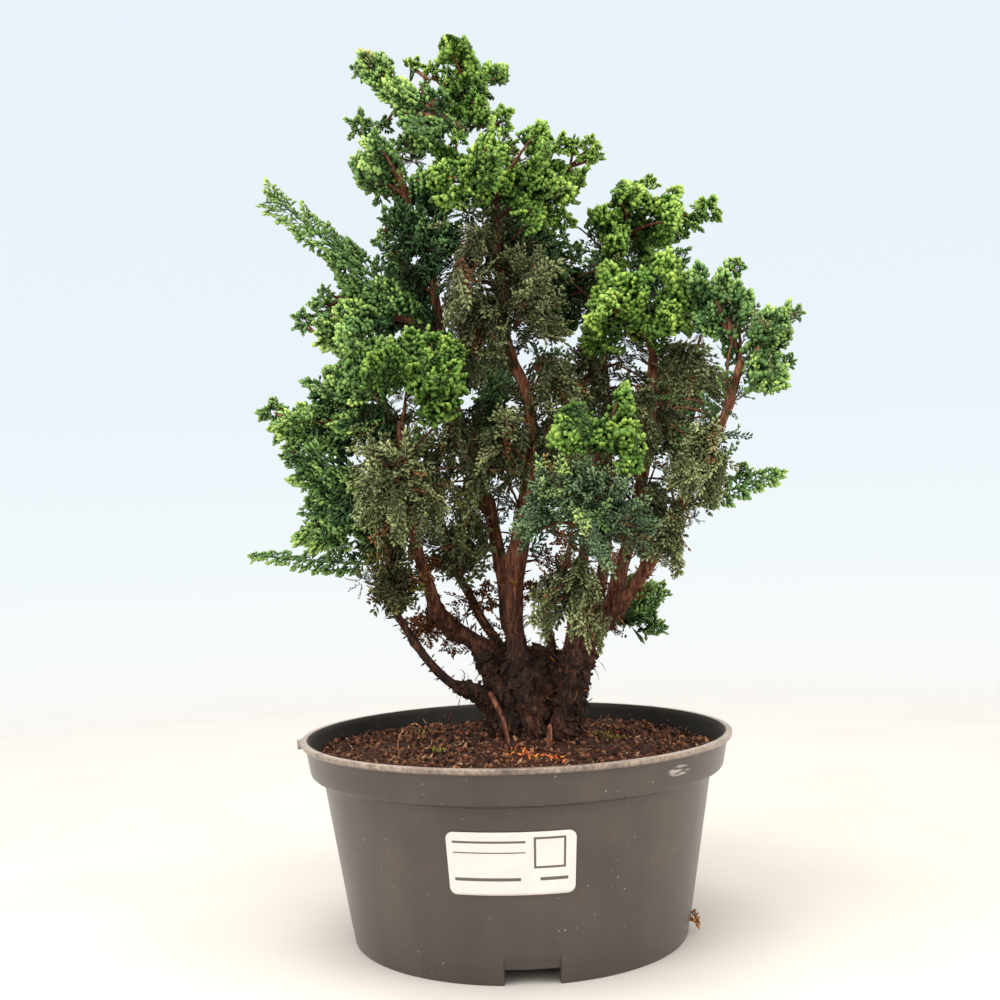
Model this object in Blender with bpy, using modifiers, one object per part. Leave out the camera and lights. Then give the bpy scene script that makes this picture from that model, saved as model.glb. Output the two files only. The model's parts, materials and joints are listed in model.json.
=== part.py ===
"""A dwarf hinoki cypress bonsai in a round nursery half-pot, with its soil and a bare paper label.

Sizes are in millimetres until a mesh is made, where MM turns them into metres. The origin is on the
table under the middle of the pot, +Z is up, and the label looks along -Y.
"""
import math

import bmesh
import bpy
import numpy as np
from mathutils import Vector

MM = 0.001
GAP = 0.3
MERGE = 0.00001
GOLDEN_ANGLE = math.radians(137.5)
GOLDEN_SHARE = 0.618

POT_STEPS = 32
POT_HEIGHT = 88.0
POT_EDGE = 0.7
LIP_RADIUS = 95.5
LIP_THICKNESS = 2.4
LIP_INNER_RADIUS = 91.4
BAND_TOP_RADIUS = 93.3
BAND_LOW_RADIUS = 90.9
BAND_LOW_Z = 73.0
BAND_ROUND = 2.0
WALL_TOP_RADIUS = 85.6
WALL_TOP_Z = 71.6
FOOT_RADIUS = 73.6
WALL_THICKNESS = 1.8
STEP_LOW_Z = 71.5
STEP_HIGH_Z = 73.6
FOOT_WIDTH = 3.6
FLOOR_UNDER_Z = 6.6
FLOOR_THICKNESS = 2.4
NOTCH_WIDTH = 22.0
NOTCH_HEIGHT = 7.2
NOTCH_COUNT = 4
NOTCH_TURN = math.radians(3.0)
DRAIN_RADIUS = 4.5
DRAIN_PLACE = 52.0
DRAIN_SIDES = 10

SOIL_WALL_Z = 79.5
SOIL_MOUND = 9.5
SOIL_MOUND_REACH = 44.0
SOIL_RINGS = (34.0, 62.0)
SOIL_BUMP = 0.8
SOIL_WAVE = 5.0

TRUNK_X = 8.0
STUB_RADIUS = 22.5
STUB_BOTTOM_Z = 58.0
STUB_STEPS = 20
BURL_FOOT_Z = 91.5
BURL_PROFILE = ((0.0, 131.0), (12.0, 129.0), (19.0, 124.0), (22.5, 116.0), (24.0, 107.0), (24.5, 99.0),
                (23.5, 93.5))
BURL_BLEND = 8.0
BURL_FLATTEN = 0.92
BURL_LEAN = 0.108
# Three waves of lumps: how many go round, how far they turn in each mm of height, their depth.
BURL_LUMPS = ((3, 0.12, 0.10), (7, -0.2, 0.08), (2, 0.5, 0.06))
# Balls that stand for the burl when boughs keep clear of it: x, y, z and radius.
BURL_BALLS = ((11, 0, 100, 24), (11, 0, 114, 20), (0, 0, 108, 18), (20, 0, 108, 18))

LABEL_WIDTH = 50.0
LABEL_HEIGHT = 25.0
LABEL_CORNER = 3.0
LABEL_THICKNESS = 0.5
LABEL_MIDDLE_Z = 49.5
LABEL_TURN = -0.039
LABEL_COLUMNS = 8

STEM_SPACING = 22.0
TWIG_GAP = 0.5
TWIG_STEP = 0.25
TWIG_RADIUS = 1.5
CORE_ROUNDS = 12
PLUME_THICKNESS = 1.15
PLUME_CLEARANCE = 2.9
OWN_CLEARANCE = 2.2
STEM_CLEARANCE = 1.6
OUTER_SHARE = 0.3
FLAT_ANGLE = math.radians(1.0)
ROOT_DEPTH = 1.6
ROD_FLAT = 0.7
CORE_GAP = 0.6
CORE_SHARES = (0.0, 0.35, 0.7, 1.0)
CORE_SHAPE = (0.22, 0.85, 1.0, 0.6)
CORE_SHRINK = 0.85
ROD_SPACING = 2.0
NEAR_REACH = 90.0
TRIES = 14
TRY_SHRINK = 0.03
TRY_TURN = 2.1
FIRST_SPOT = 0.3
TWIG_END = 0.98
SIZE_VARIES = 0.12
LEAN_VARIES = 0.25
FAN_SWAY = 1.6
FROND_FACE = (0.25, -0.75, 0.6)
RIB_END = 0.8
RIB_TAPER = 0.7
LEAF_WIDEST = (0.30, 0.85)
LOBE_VARIES = 0.14
LOBE_AHEAD = (0.85, 1.35)
RUFFLE_DEPTH = 0.10
RUFFLE_WAVES = 9.0
CUP_DEPTH = 0.22
SAMPLES_PER_LOBE = 3
SAMPLES_ACROSS = 5
BLADE_EDGE = 0.95
SEED = 1000

# Each stem: radius at its foot, radius at its end, then points from the root crown outwards.
STEMS = {
    "low_left": (3.2, 1.8, [(2, -8, 104), (-16, -12, 106), (-27, -14, 111), (-36, -16, 120), (-45, -16, 133),
                            (-52, -15, 145), (-57, -13, 155)]),
    "left": (6.0, 4.6, [(6, 0, 110), (-5, 0, 119), (-19, 0, 129), (-30, 1, 137), (-37, 3, 146)]),
    "left_red": (4.2, 2.2, [(-24, 0, 132), (-33, -6, 142), (-37, -10, 156), (-41, -14, 172), (-43, -16, 184),
                            (-46, -16, 205), (-47, -14, 226)]),
    "left_thin": (3.0, 2.0, [(4, 4, 112), (-12, 10, 134), (-19, 14, 147), (-26, 18, 160), (-30, 20, 172),
                             (-34, 24, 194)]),
    "leader_dark": (5.0, 2.2, [(6, 4, 112), (1, 8, 127), (-3, 12, 150), (-8, 14, 182), (-13, 13, 201),
                               (-19, 10, 220), (-24, 8, 239), (-28, 5, 265), (-32, 2, 292), (-36, 0, 310)]),
    "leader_red": (5.6, 2.2, [(6, -2, 112), (1, -6, 129), (1, -8, 147), (4, -10, 171), (8, -12, 195),
                              (10, -12, 212), (10, -12, 235), (4, -10, 251), (0, -8, 267), (-1, -6, 286),
                              (-2, -2, 308), (-3, 0, 332), (-6, 4, 352)]),
    "front_thin": (2.6, 1.6, [(14, -6, 114), (17, -10, 126), (14, -14, 137), (16, -18, 148), (21, -20, 156),
                              (26, -22, 170)]),
    "front_right": (4.2, 2.0, [(17, -6, 112), (24, -14, 123), (26, -20, 133), (29, -26, 148), (31, -32, 166),
                               (34, -36, 190), (39, -38, 211)]),
    "right": (5.2, 2.6, [(16, 2, 110), (30, 4, 122), (39, 6, 133), (46, 8, 145), (50, 8, 159), (54, 8, 171),
                         (61, 8, 199), (65, 8, 222), (67, 8, 244), (68, 6, 262)]),
    "right_outer": (4.4, 2.2, [(18, 0, 114), (34, 0, 127), (50, -6, 145), (59, -10, 158), (66, -14, 169),
                               (76, -18, 188), (85, -22, 206), (93, -24, 222), (98, -26, 236),
                               (101, -28, 247)]),
    "back_right": (4.4, 2.2, [(16, 6, 112), (33, 18, 127), (44, 30, 161), (47, 34, 199), (48, 34, 238),
                              (46, 32, 266), (47, 30, 286), (52, 26, 306)]),
    "low_right": (2.6, 1.6, [(22, 4, 114), (36, 8, 128), (47, 12, 133)]),
}

# Each bough: kind of plume, plume length, plume count, then one or more twigs as lists of points.
# A later twig forks from the first one.
BOUGHS = {
    "bough_apex": ("clump", 20, 6, [[(-7, 5, 360), (-12, 5, 381), (-15, 6, 398)],
                                    [(-8, 5, 364), (-22, 3, 367), (-28, 0, 371)]]),
    "bough_top_left": ("arm", 17, 6, [[(-12, 1, 357), (-33, -6, 374), (-56, -11, 387)],
                                      [(-25, -3, 366), (-33, -10, 354)]]),
    "bough_left_shoulder": ("arm", 20, 5, [[(-40, -2, 320), (-48, -8, 340), (-57, -12, 352)],
                                           [(-44, -5, 331), (-32, -9, 333), (-27, -11, 336)]]),
    "bough_crown_left": ("clump", 22, 4, [[(-6, 0, 334), (-18, -3, 345), (-28, -4, 350)]]),
    "bough_crown_front": ("clump", 24, 5, [[(-4, -6, 320), (-8, -18, 330), (-14, -25, 335)],
                                           [(-6, -14, 327), (12, -20, 330), (22, -22, 325)]]),
    "bough_crown_right": ("clump", 21, 4, [[(2, 2, 336), (24, 2, 343), (36, 1, 343)]]),
    "bough_crown_hanging": ("drape", 27, 4, [[(3, 2, 312), (22, 6, 312), (27, 8, 294)]]),
    "bough_dark_left": ("drape", 25, 5, [[(-34, -6, 308), (-26, -12, 314), (-22, -14, 302)],
                                         [(-30, -9, 311), (-44, -12, 319), (-51, -12, 314)]]),
    "frond_long_left": ("frond", 78, 1, [[(-42, -6, 278), (-72, -16, 305)]]),
    "bough_inner_left": ("drape", 25, 4, [[(-35, 3, 292), (-46, 14, 300), (-51, 18, 291)]]),
    "bough_tier_left": ("arm", 22, 5, [[(-33, -1, 270), (-62, -6, 281), (-78, -10, 284)],
                                       [(-50, -4, 276), (-70, -13, 267), (-82, -16, 268)]]),
    "bough_bright_ball": ("clump", 24, 6, [[(-32, -6, 244), (-36, -22, 245), (-38, -38, 243)]]),
    "bough_ball_left": ("arm", 21, 4, [[(-46, -12, 244), (-58, -20, 250), (-66, -24, 253)]]),
    "bough_wide_left": ("arm", 20, 6, [[(-45, -8, 228), (-74, -8, 235), (-93, -12, 234)],
                                       [(-58, -8, 232), (-76, -7, 219), (-88, -8, 217)]]),
    "bough_left": ("arm", 22, 5, [[(-50, -18, 200), (-70, -15, 202), (-86, -17, 203)],
                                  [(-58, -16, 200), (-76, -8, 188), (-90, -7, 186)]]),
    "frond_low_left": ("frond", 64, 1, [[(-60, -8, 165.5), (-88, 4.4, 168.5)]]),
    "bough_low_left": ("arm", 20, 4, [[(-42, -7, 176), (-58, 3, 184), (-70, 8, 182)]]),
    "bough_olive_left": ("drape", 30, 5, [[(-52, -20, 216), (-58, -28, 214), (-60, -30, 198)],
                                          [(-54, -22, 214), (-42, -34, 210), (-40, -36, 192)]]),
    "bough_olive_low": ("drape", 22, 3, [[(-50, -20, 172), (-52, -26, 168), (-50, -26, 158)]]),
    "bough_inner_1": ("drape", 29, 3, [[(-4, -10, 308), (-12, -22, 306), (-16, -24, 290)]]),
    "bough_inner_2": ("drape", 27, 3, [[(4, -12, 296), (13, -20, 294), (16, -21, 278)]]),
    "bough_inner_3": ("drape", 28, 4, [[(-2, -12, 279), (-12, -20, 280), (-16, -22, 264)]]),
    "bough_inner_4": ("drape", 27, 3, [[(12, -16, 252), (20, -22, 250), (21, -22, 234)]]),
    "bough_inner_5": ("drape", 27, 3, [[(8, -19, 226), (-1, -28, 224), (-5, -28, 208)]]),
    "bough_inner_6": ("drape", 25, 3, [[(-23, 3, 234), (-25, -6, 230), (-26, -8, 214)]]),
    "bough_inner_7": ("drape", 25, 3, [[(14, -10, 226), (24, -12, 224), (25, -13, 208)]]),
    "bough_inner_8": ("drape", 27, 3, [[(-12, 10, 190), (-19, 2, 190), (-21, 0, 176)]]),
    "bough_front_top": ("clump", 20, 6, [[(40, -41, 215), (40, -52, 220), (42, -57, 223)],
                                         [(40, -47, 218), (54, -48, 222), (60, -50, 224)]]),
    "bough_front_blue": ("drape", 30, 6, [[(36, -42, 196), (36, -56, 193), (33, -62, 178)],
                                          [(36, -48, 195), (22, -56, 197), (16, -58, 188)],
                                          [(36, -50, 195), (50, -54, 192), (53, -55, 182)]]),
    "bough_front_low": ("drape", 27, 3, [[(29, -36, 165), (27, -45, 162), (27, -45, 150)]]),
    "bough_right_crown": ("clump", 25, 7, [[(54, 24, 310), (56, 14, 322), (60, 11, 331)],
                                           [(56, 16, 318), (48, 4, 308), (46, -2, 302)],
                                           [(57, 15, 319), (80, 18, 316), (95, 17, 318)]]),
    "bough_right_hanging": ("drape", 27, 4, [[(44, 31, 292), (34, 33, 298), (30, 33, 286)]]),
    "bough_right_shelf": ("clump", 21, 5, [[(65, 2, 262), (54, -7, 274), (42, -10, 278)]]),
    "bough_right_front": ("clump", 20, 5, [[(70, 2, 264), (76, -13, 275), (78, -19, 278)]]),
    "bough_outer_top": ("arm", 18, 5, [[(101, -27, 251), (95, -24, 270), (98, -24, 282)]]),
    "bough_outer_right": ("arm", 17, 5, [[(104, -28, 246), (108, -33, 257), (113, -37, 263)],
                                         [(106, -30, 250), (110, -36, 243), (113, -40, 240)]]),
    "bough_right_inner": ("drape", 26, 4, [[(71, 3, 254), (84, 0, 258), (92, -4, 250)]]),
    "bough_right_low": ("drape", 25, 3, [[(64, 1, 236), (60, -8, 236), (58, -10, 226)]]),
    "bough_mid_1": ("drape", 27, 4, [[(46, 30, 254), (37, 20, 261), (34, 16, 248)]]),
    "bough_mid_2": ("drape", 26, 4, [[(68, 5, 226), (76, 0, 222), (78, -3, 210)]]),
    "bough_mid_3": ("drape", 25, 3, [[(62, 4, 196), (67, -6, 192), (67, -8, 180)]]),
    "bough_outer_1": ("drape", 25, 3, [[(88, -28, 214), (84, -36, 216), (80, -38, 204)]]),
    "bough_outer_2": ("drape", 22, 3, [[(74, -22, 182), (71, -29, 180), (67, -30, 168)]]),
    "frond_right": ("frond", 40, 1, [[(79, -21, 187), (98, -21, 191.5)]]),
    "bough_low_right": ("arm", 18, 4, [[(48, 13, 135), (58, 13, 143), (66, 12, 142)]]),
    "bough_back_high": ("arm", 26, 4, [[(-1, 3, 300), (2, 26, 314), (4, 44, 322)]]),
    "bough_back_left": ("arm", 26, 4, [[(-28, 9, 262), (-40, 36, 278), (-48, 56, 285)]]),
    "bough_back_right": ("arm", 26, 4, [[(51, 30, 290), (62, 48, 296), (72, 58, 300)]]),
    "bough_back_middle": ("arm", 26, 4, [[(-16, 16, 212), (-8, 38, 236), (-3, 58, 246)]]),
    "bough_back_outer": ("arm", 26, 4, [[(67, 11, 224), (80, 34, 232), (88, 52, 238)]]),
    "bough_back_low_left": ("arm", 25, 4, [[(-36, 27, 196), (-50, 44, 206), (-60, 60, 211)]]),
    "bough_back_low_right": ("arm", 25, 4, [[(46, 37, 190), (36, 54, 200), (28, 70, 206)]]),
}

# How each kind of bough holds its plumes: the twig's thickest radius, where along the twig they
# start, their angle from it, how far a plume bends over its length, how much each one twists, its
# half width for its length, its lobes on a side, where its first lobe starts and how wide its rib is.
KINDS = {
    "clump": dict(core=8.5, start=0.30, lean=60, bend=36, twist=45, width=0.55, lobes=3, neck=0.18, rib=0.42),
    "arm": dict(core=6.0, start=0.25, lean=46, bend=22, twist=40, width=0.55, lobes=3, neck=0.18, rib=0.42),
    "drape": dict(core=6.5, start=0.20, lean=34, bend=24, twist=35, width=0.50, lobes=3, neck=0.18, rib=0.42),
    "frond": dict(core=1.5, start=0.0, lean=0, bend=5, twist=10, width=0.13, lobes=9, neck=0.07, rib=0.30),
}

COLOURS = {
    "plastic": (0.105, 0.098, 0.092),
    "paper": (0.88, 0.87, 0.85),
    "soil": (0.055, 0.030, 0.018),
    "bark": (0.080, 0.035, 0.022),
    "bright": (0.160, 0.300, 0.055),
    "green": (0.055, 0.130, 0.045),
    "olive": (0.080, 0.090, 0.040),
}


def material(name, colour, roughness):
    """A plain finish: one colour and one roughness on a Principled BSDF."""
    made = bpy.data.materials.new(name)
    made.use_nodes = True
    shader = made.node_tree.nodes["Principled BSDF"]
    shader.inputs["Base Color"].default_value = (*colour, 1.0)
    shader.inputs["Roughness"].default_value = roughness
    shader.inputs["Metallic"].default_value = 0.0
    return made


def new_object(name, mesh, collection, finish=None):
    """Put a mesh in the scene as one named object."""
    made = bpy.data.objects.new(name, mesh)
    collection.objects.link(made)
    if finish:
        mesh.materials.append(finish)
    return made


def evaluated_mesh(thing):
    """The mesh of an object with its modifiers applied, as a mesh of its own."""
    bpy.context.view_layer.update()
    graph = bpy.context.evaluated_depsgraph_get()
    return bpy.data.meshes.new_from_object(thing.evaluated_get(graph))


def mesh_from(name, points_mm, faces):
    """A mesh from points in millimetres and faces, with its normals turned outwards."""
    mesh = bpy.data.meshes.new(name)
    mesh.from_pydata([Vector(p) * MM for p in points_mm], [], faces)
    work = bmesh.new()
    work.from_mesh(mesh)
    bmesh.ops.recalc_face_normals(work, faces=work.faces)
    work.to_mesh(mesh)
    work.free()
    return mesh


def turned(name, profile_mm, steps, collection):
    """A profile at +X, top to bottom on its outer side, turned about Z by a Screw modifier."""
    mesh = bpy.data.meshes.new(name)
    points = [(r * MM, 0.0, z * MM) for r, z in profile_mm]
    mesh.from_pydata(points, [(i, i + 1) for i in range(len(points) - 1)], [])
    made = new_object(name, mesh, collection)
    screw = made.modifiers.new("turn", "SCREW")
    screw.axis = "Z"
    screw.steps = steps
    screw.render_steps = steps
    screw.use_merge_vertices = True
    screw.merge_threshold = MERGE
    screw.use_smooth_shade = False
    return made


def tube(name, points_mm, radii_mm, collection, resolution=1):
    """A round rod with a radius at each point, as a mesh whose caps are welded on."""
    curve = bpy.data.curves.new(name, "CURVE")
    curve.dimensions = "3D"
    curve.bevel_depth = MM
    curve.bevel_resolution = resolution
    curve.use_fill_caps = True
    spline = curve.splines.new("POLY")
    spline.points.add(len(points_mm) - 1)
    for point, place, radius in zip(spline.points, points_mm, radii_mm):
        point.co = (*(Vector(place) * MM), 1.0)
        point.radius = radius
    rod = bpy.data.objects.new(name + "_curve", curve)
    collection.objects.link(rod)
    mesh = evaluated_mesh(rod)
    work = bmesh.new()
    work.from_mesh(mesh)
    bmesh.ops.remove_doubles(work, verts=work.verts, dist=MERGE)
    bmesh.ops.recalc_face_normals(work, faces=work.faces)
    work.to_mesh(mesh)
    work.free()
    made = bpy.data.objects.new(name, mesh)
    made.matrix_world = rod.matrix_world.copy()
    collection.objects.link(made)
    bpy.data.objects.remove(rod)
    bpy.data.curves.remove(curve)
    return made


def fuse(base, others):
    """Join the other objects into the base by one Boolean union on a collection, and remove them."""
    if not others:
        return
    group = bpy.data.collections.new(base.name + "_joined")
    bpy.context.scene.collection.children.link(group)
    for other in others:
        for owner in list(other.users_collection):
            owner.objects.unlink(other)
        group.objects.link(other)
    union = base.modifiers.new("join", "BOOLEAN")
    union.operand_type = "COLLECTION"
    union.collection = group
    union.operation = "UNION"
    union.solver = "MANIFOLD"
    joined = evaluated_mesh(base)
    base.modifiers.remove(union)
    base.data = joined
    work = bmesh.new()
    work.from_mesh(joined)
    bmesh.ops.dissolve_limit(work, angle_limit=FLAT_ANGLE, verts=work.verts, edges=work.edges)
    bmesh.ops.triangulate(work, faces=work.faces)
    work.to_mesh(joined)
    work.free()
    for other in others:
        bpy.data.objects.remove(other)
    bpy.data.collections.remove(group)


def cut(thing, cutter):
    """A Boolean difference that stays live on the object."""
    cutter.hide_render = True
    cutter.display_type = "WIRE"
    made = thing.modifiers.new("cut_" + cutter.name, "BOOLEAN")
    made.operation = "DIFFERENCE"
    made.object = cutter


def cylinder_cutter(name, radius, z_low, z_high, place, sides, collection):
    """An upright cylinder to cut with."""
    mesh = bpy.data.meshes.new(name)
    work = bmesh.new()
    bmesh.ops.create_cone(work, cap_ends=True, segments=sides, radius1=radius * MM, radius2=radius * MM,
                          depth=(z_high - z_low) * MM)
    work.to_mesh(mesh)
    work.free()
    made = new_object(name, mesh, collection)
    made.location = (place[0] * MM, place[1] * MM, 0.5 * (z_low + z_high) * MM)
    return made


def inner_radius(z):
    """The pot's inside radius at a height."""
    if z >= WALL_TOP_Z:
        share = (z - BAND_LOW_Z) / (POT_HEIGHT - BAND_LOW_Z)
        low = BAND_LOW_RADIUS - WALL_THICKNESS
        return low + (LIP_INNER_RADIUS - low) * max(0.0, share)
    return outer_radius(z) - WALL_THICKNESS


def outer_radius(z):
    """The radius of the tapered wall below the band at a height."""
    return FOOT_RADIUS + (WALL_TOP_RADIUS - FOOT_RADIUS) * z / WALL_TOP_Z


def pot(collection, cutters, finish):
    """The moulded pot: one turned wall, with drain notches cut in its foot and holes in its floor."""
    floor_z = FLOOR_UNDER_Z + FLOOR_THICKNESS
    profile = [
        (0.0, floor_z),
        (inner_radius(floor_z), floor_z),
        (inner_radius(STEP_LOW_Z), STEP_LOW_Z),
        (inner_radius(STEP_HIGH_Z), STEP_HIGH_Z),
        (LIP_INNER_RADIUS, POT_HEIGHT),
        (LIP_RADIUS - POT_EDGE, POT_HEIGHT),
        (LIP_RADIUS, POT_HEIGHT - POT_EDGE),
        (LIP_RADIUS - POT_EDGE / 2, POT_HEIGHT - LIP_THICKNESS),
        (BAND_TOP_RADIUS, POT_HEIGHT - LIP_THICKNESS),
        (BAND_LOW_RADIUS, BAND_LOW_Z + BAND_ROUND),
        (BAND_LOW_RADIUS - BAND_ROUND, BAND_LOW_Z),
        (WALL_TOP_RADIUS, WALL_TOP_Z),
        (FOOT_RADIUS, POT_EDGE),
        (FOOT_RADIUS - POT_EDGE, 0.0),
        (FOOT_RADIUS - FOOT_WIDTH, 0.0),
        (FOOT_RADIUS - FOOT_WIDTH, FLOOR_UNDER_Z),
        (0.0, FLOOR_UNDER_Z),
    ]
    made = turned("pot", profile, POT_STEPS, collection)
    made.data.materials.append(finish)
    for number in range(NOTCH_COUNT):
        turn = NOTCH_TURN - math.pi / 2 + number * 2 * math.pi / NOTCH_COUNT
        mesh = bpy.data.meshes.new("notch_%d" % number)
        work = bmesh.new()
        bmesh.ops.create_cube(work, size=1.0)
        size = (4 * FOOT_WIDTH * MM, NOTCH_WIDTH * MM, 2 * NOTCH_HEIGHT * MM)
        bmesh.ops.scale(work, vec=size, verts=work.verts)
        work.to_mesh(mesh)
        work.free()
        notch = new_object("notch_%d" % number, mesh, cutters)
        notch.location = (FOOT_RADIUS * math.cos(turn) * MM, FOOT_RADIUS * math.sin(turn) * MM, 0.0)
        notch.rotation_euler = (0.0, 0.0, turn)
        cut(made, notch)
        place = (DRAIN_PLACE * math.cos(turn), DRAIN_PLACE * math.sin(turn))
        drain = cylinder_cutter("drain_%d" % number, DRAIN_RADIUS, 0.0, 2 * floor_z, place,
                                DRAIN_SIDES, cutters)
        cut(made, drain)
    return made


def soil_height(r):
    """The soil's height at a distance from the pot's axis: flat by the wall, mounded round the tree."""
    return SOIL_WALL_Z + SOIL_MOUND * math.exp(-(r / SOIL_MOUND_REACH) ** 2)


def soil(collection, cutters, finish):
    """Potting soil that fills the pot, with a plain hole that the root crown stands in."""
    floor_z = FLOOR_UNDER_Z + FLOOR_THICKNESS + GAP
    inner = [(0.0, soil_height(0.0))] + [(r, soil_height(r)) for r in SOIL_RINGS]
    profile = inner + [
        (inner_radius(SOIL_WALL_Z) - GAP, SOIL_WALL_Z),
        (inner_radius(STEP_HIGH_Z) - GAP, STEP_HIGH_Z + GAP),
        (inner_radius(STEP_LOW_Z) - GAP, STEP_LOW_Z + GAP),
        (inner_radius(floor_z) - GAP, floor_z),
        (0.0, floor_z),
    ]
    made = turned("soil", profile, POT_STEPS, collection)
    mesh = evaluated_mesh(made)
    made.modifiers.clear()
    made.data = mesh
    mesh.materials.append(finish)
    for vertex in mesh.vertices:
        x, y, z = (c / MM for c in vertex.co)
        if 1.0 < math.hypot(x, y) < SOIL_RINGS[-1] + 1.0 and z > SOIL_WALL_Z:
            wide = math.sin(x / SOIL_WAVE + 1) * math.sin(y / SOIL_WAVE + 2)
            vertex.co.z += SOIL_BUMP * (wide + math.sin((2 * x - y) / SOIL_WAVE)) * MM
    hole = cylinder_cutter("soil_hole", STUB_RADIUS + GAP, STUB_BOTTOM_Z - GAP, 2 * POT_HEIGHT,
                           (TRUNK_X, 0.0), STUB_STEPS, cutters)
    cut(made, hole)
    return made


def label(collection, finish):
    """A paper label with round corners, wrapped round the tapered wall."""
    half_width = LABEL_WIDTH / 2
    half_height = LABEL_HEIGHT / 2
    straight = half_width - LABEL_CORNER
    turns = [math.radians(a) for a in (0, 30, 60, 90)]
    ends = [straight + LABEL_CORNER * math.cos(a) for a in turns]
    inner = list(np.linspace(-straight, straight, LABEL_COLUMNS))[1:-1]
    across = sorted([-e for e in ends] + inner + ends)
    points = []
    for s in across:
        past = max(0.0, abs(s) - straight)
        edge = half_height - LABEL_CORNER + math.sqrt(max(0.0, LABEL_CORNER ** 2 - past ** 2))
        for side in (-1, 1):
            z = LABEL_MIDDLE_Z + side * edge
            r = outer_radius(z) + GAP
            angle = -math.pi / 2 + LABEL_TURN + s / outer_radius(LABEL_MIDDLE_Z)
            points.append((r * math.cos(angle), r * math.sin(angle), z))
    faces = [(2 * i, 2 * i + 2, 2 * i + 3, 2 * i + 1) for i in range(len(across) - 1)]
    mesh = bpy.data.meshes.new("label")
    mesh.from_pydata([Vector(p) * MM for p in points], [], faces)
    made = new_object("label", mesh, collection, finish)
    shell = made.modifiers.new("thickness", "SOLIDIFY")
    shell.thickness = LABEL_THICKNESS * MM
    shell.offset = 1.0
    return made


def smooth_route(points, spacing):
    """Points about a spacing apart along a Catmull-Rom curve through the given ones."""
    known = [np.array(p, float) for p in points]
    ends = [2 * known[0] - known[1]] + known + [2 * known[-1] - known[-2]]
    route = [known[0]]
    for a, b, c, d in zip(ends, ends[1:], ends[2:], ends[3:]):
        count = max(1, round(float(np.linalg.norm(c - b)) / spacing))
        for step in range(1, count + 1):
            t = step / count
            route.append(0.5 * (2 * b + (c - a) * t + (2 * a - 5 * b + 4 * c - d) * t * t
                                + (3 * b - 3 * c + d - a) * t ** 3))
    return np.array(route)


def stem_routes():
    """Every stem as a smooth route with a radius at each point, thinning towards its end."""
    routes = {}
    for name, (thick, thin, points) in STEMS.items():
        route = smooth_route(points, STEM_SPACING)
        shares = np.linspace(0.0, 1.0, len(route))
        routes[name] = (route, thick + (thin - thick) * shares)
    return routes


def trunk(collection, finish, routes):
    """The root crown, a lumpy burl on a round stub, with every stem grown out of it."""
    stub = ((STUB_RADIUS, BURL_FOOT_Z - 0.5), (STUB_RADIUS, STUB_BOTTOM_Z), (0.0, STUB_BOTTOM_Z))
    made = turned("trunk", BURL_PROFILE + stub, STUB_STEPS, collection)
    mesh = evaluated_mesh(made)
    made.modifiers.clear()
    made.data = mesh
    mesh.materials.append(finish)
    for vertex in mesh.vertices:
        x, y, z = (c / MM for c in vertex.co)
        above = max(0.0, z - BURL_FOOT_Z)
        angle = math.atan2(y, x)
        waves = sum(depth * math.sin(around * angle + rise * z) for around, rise, depth in BURL_LUMPS)
        lump = 1.0 + min(1.0, above / BURL_BLEND) * waves
        vertex.co.x = (TRUNK_X + x * lump + BURL_LEAN * above) * MM
        vertex.co.y = (y * lump * BURL_FLATTEN if above else y) * MM
    stems = []
    for name, (route, radii) in routes.items():
        stems.append(tube("stem_" + name, route, radii, collection))
    fuse(made, stems)
    return made


def unit(vector):
    """The same direction with a length of 1."""
    return vector / np.linalg.norm(vector)


def turned_about(vector, axis, angle):
    """A vector turned about a unit axis by the right-hand rule."""
    return (vector * math.cos(angle) + np.cross(axis, vector) * math.sin(angle)
            + axis * np.dot(axis, vector) * (1 - math.cos(angle)))


def place_along(twig, share):
    """The point and the direction at a share of a twig's length."""
    steps = np.diff(twig, axis=0)
    lengths = np.linalg.norm(steps, axis=1)
    reach = np.concatenate([[0.0], np.cumsum(lengths)])
    at = min(share, 1.0) * reach[-1]
    piece = min(int(np.searchsorted(reach, at, side="right")) - 1, len(steps) - 1)
    return twig[piece] + steps[piece] * (at - reach[piece]) / lengths[piece], steps[piece] / lengths[piece]


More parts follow.
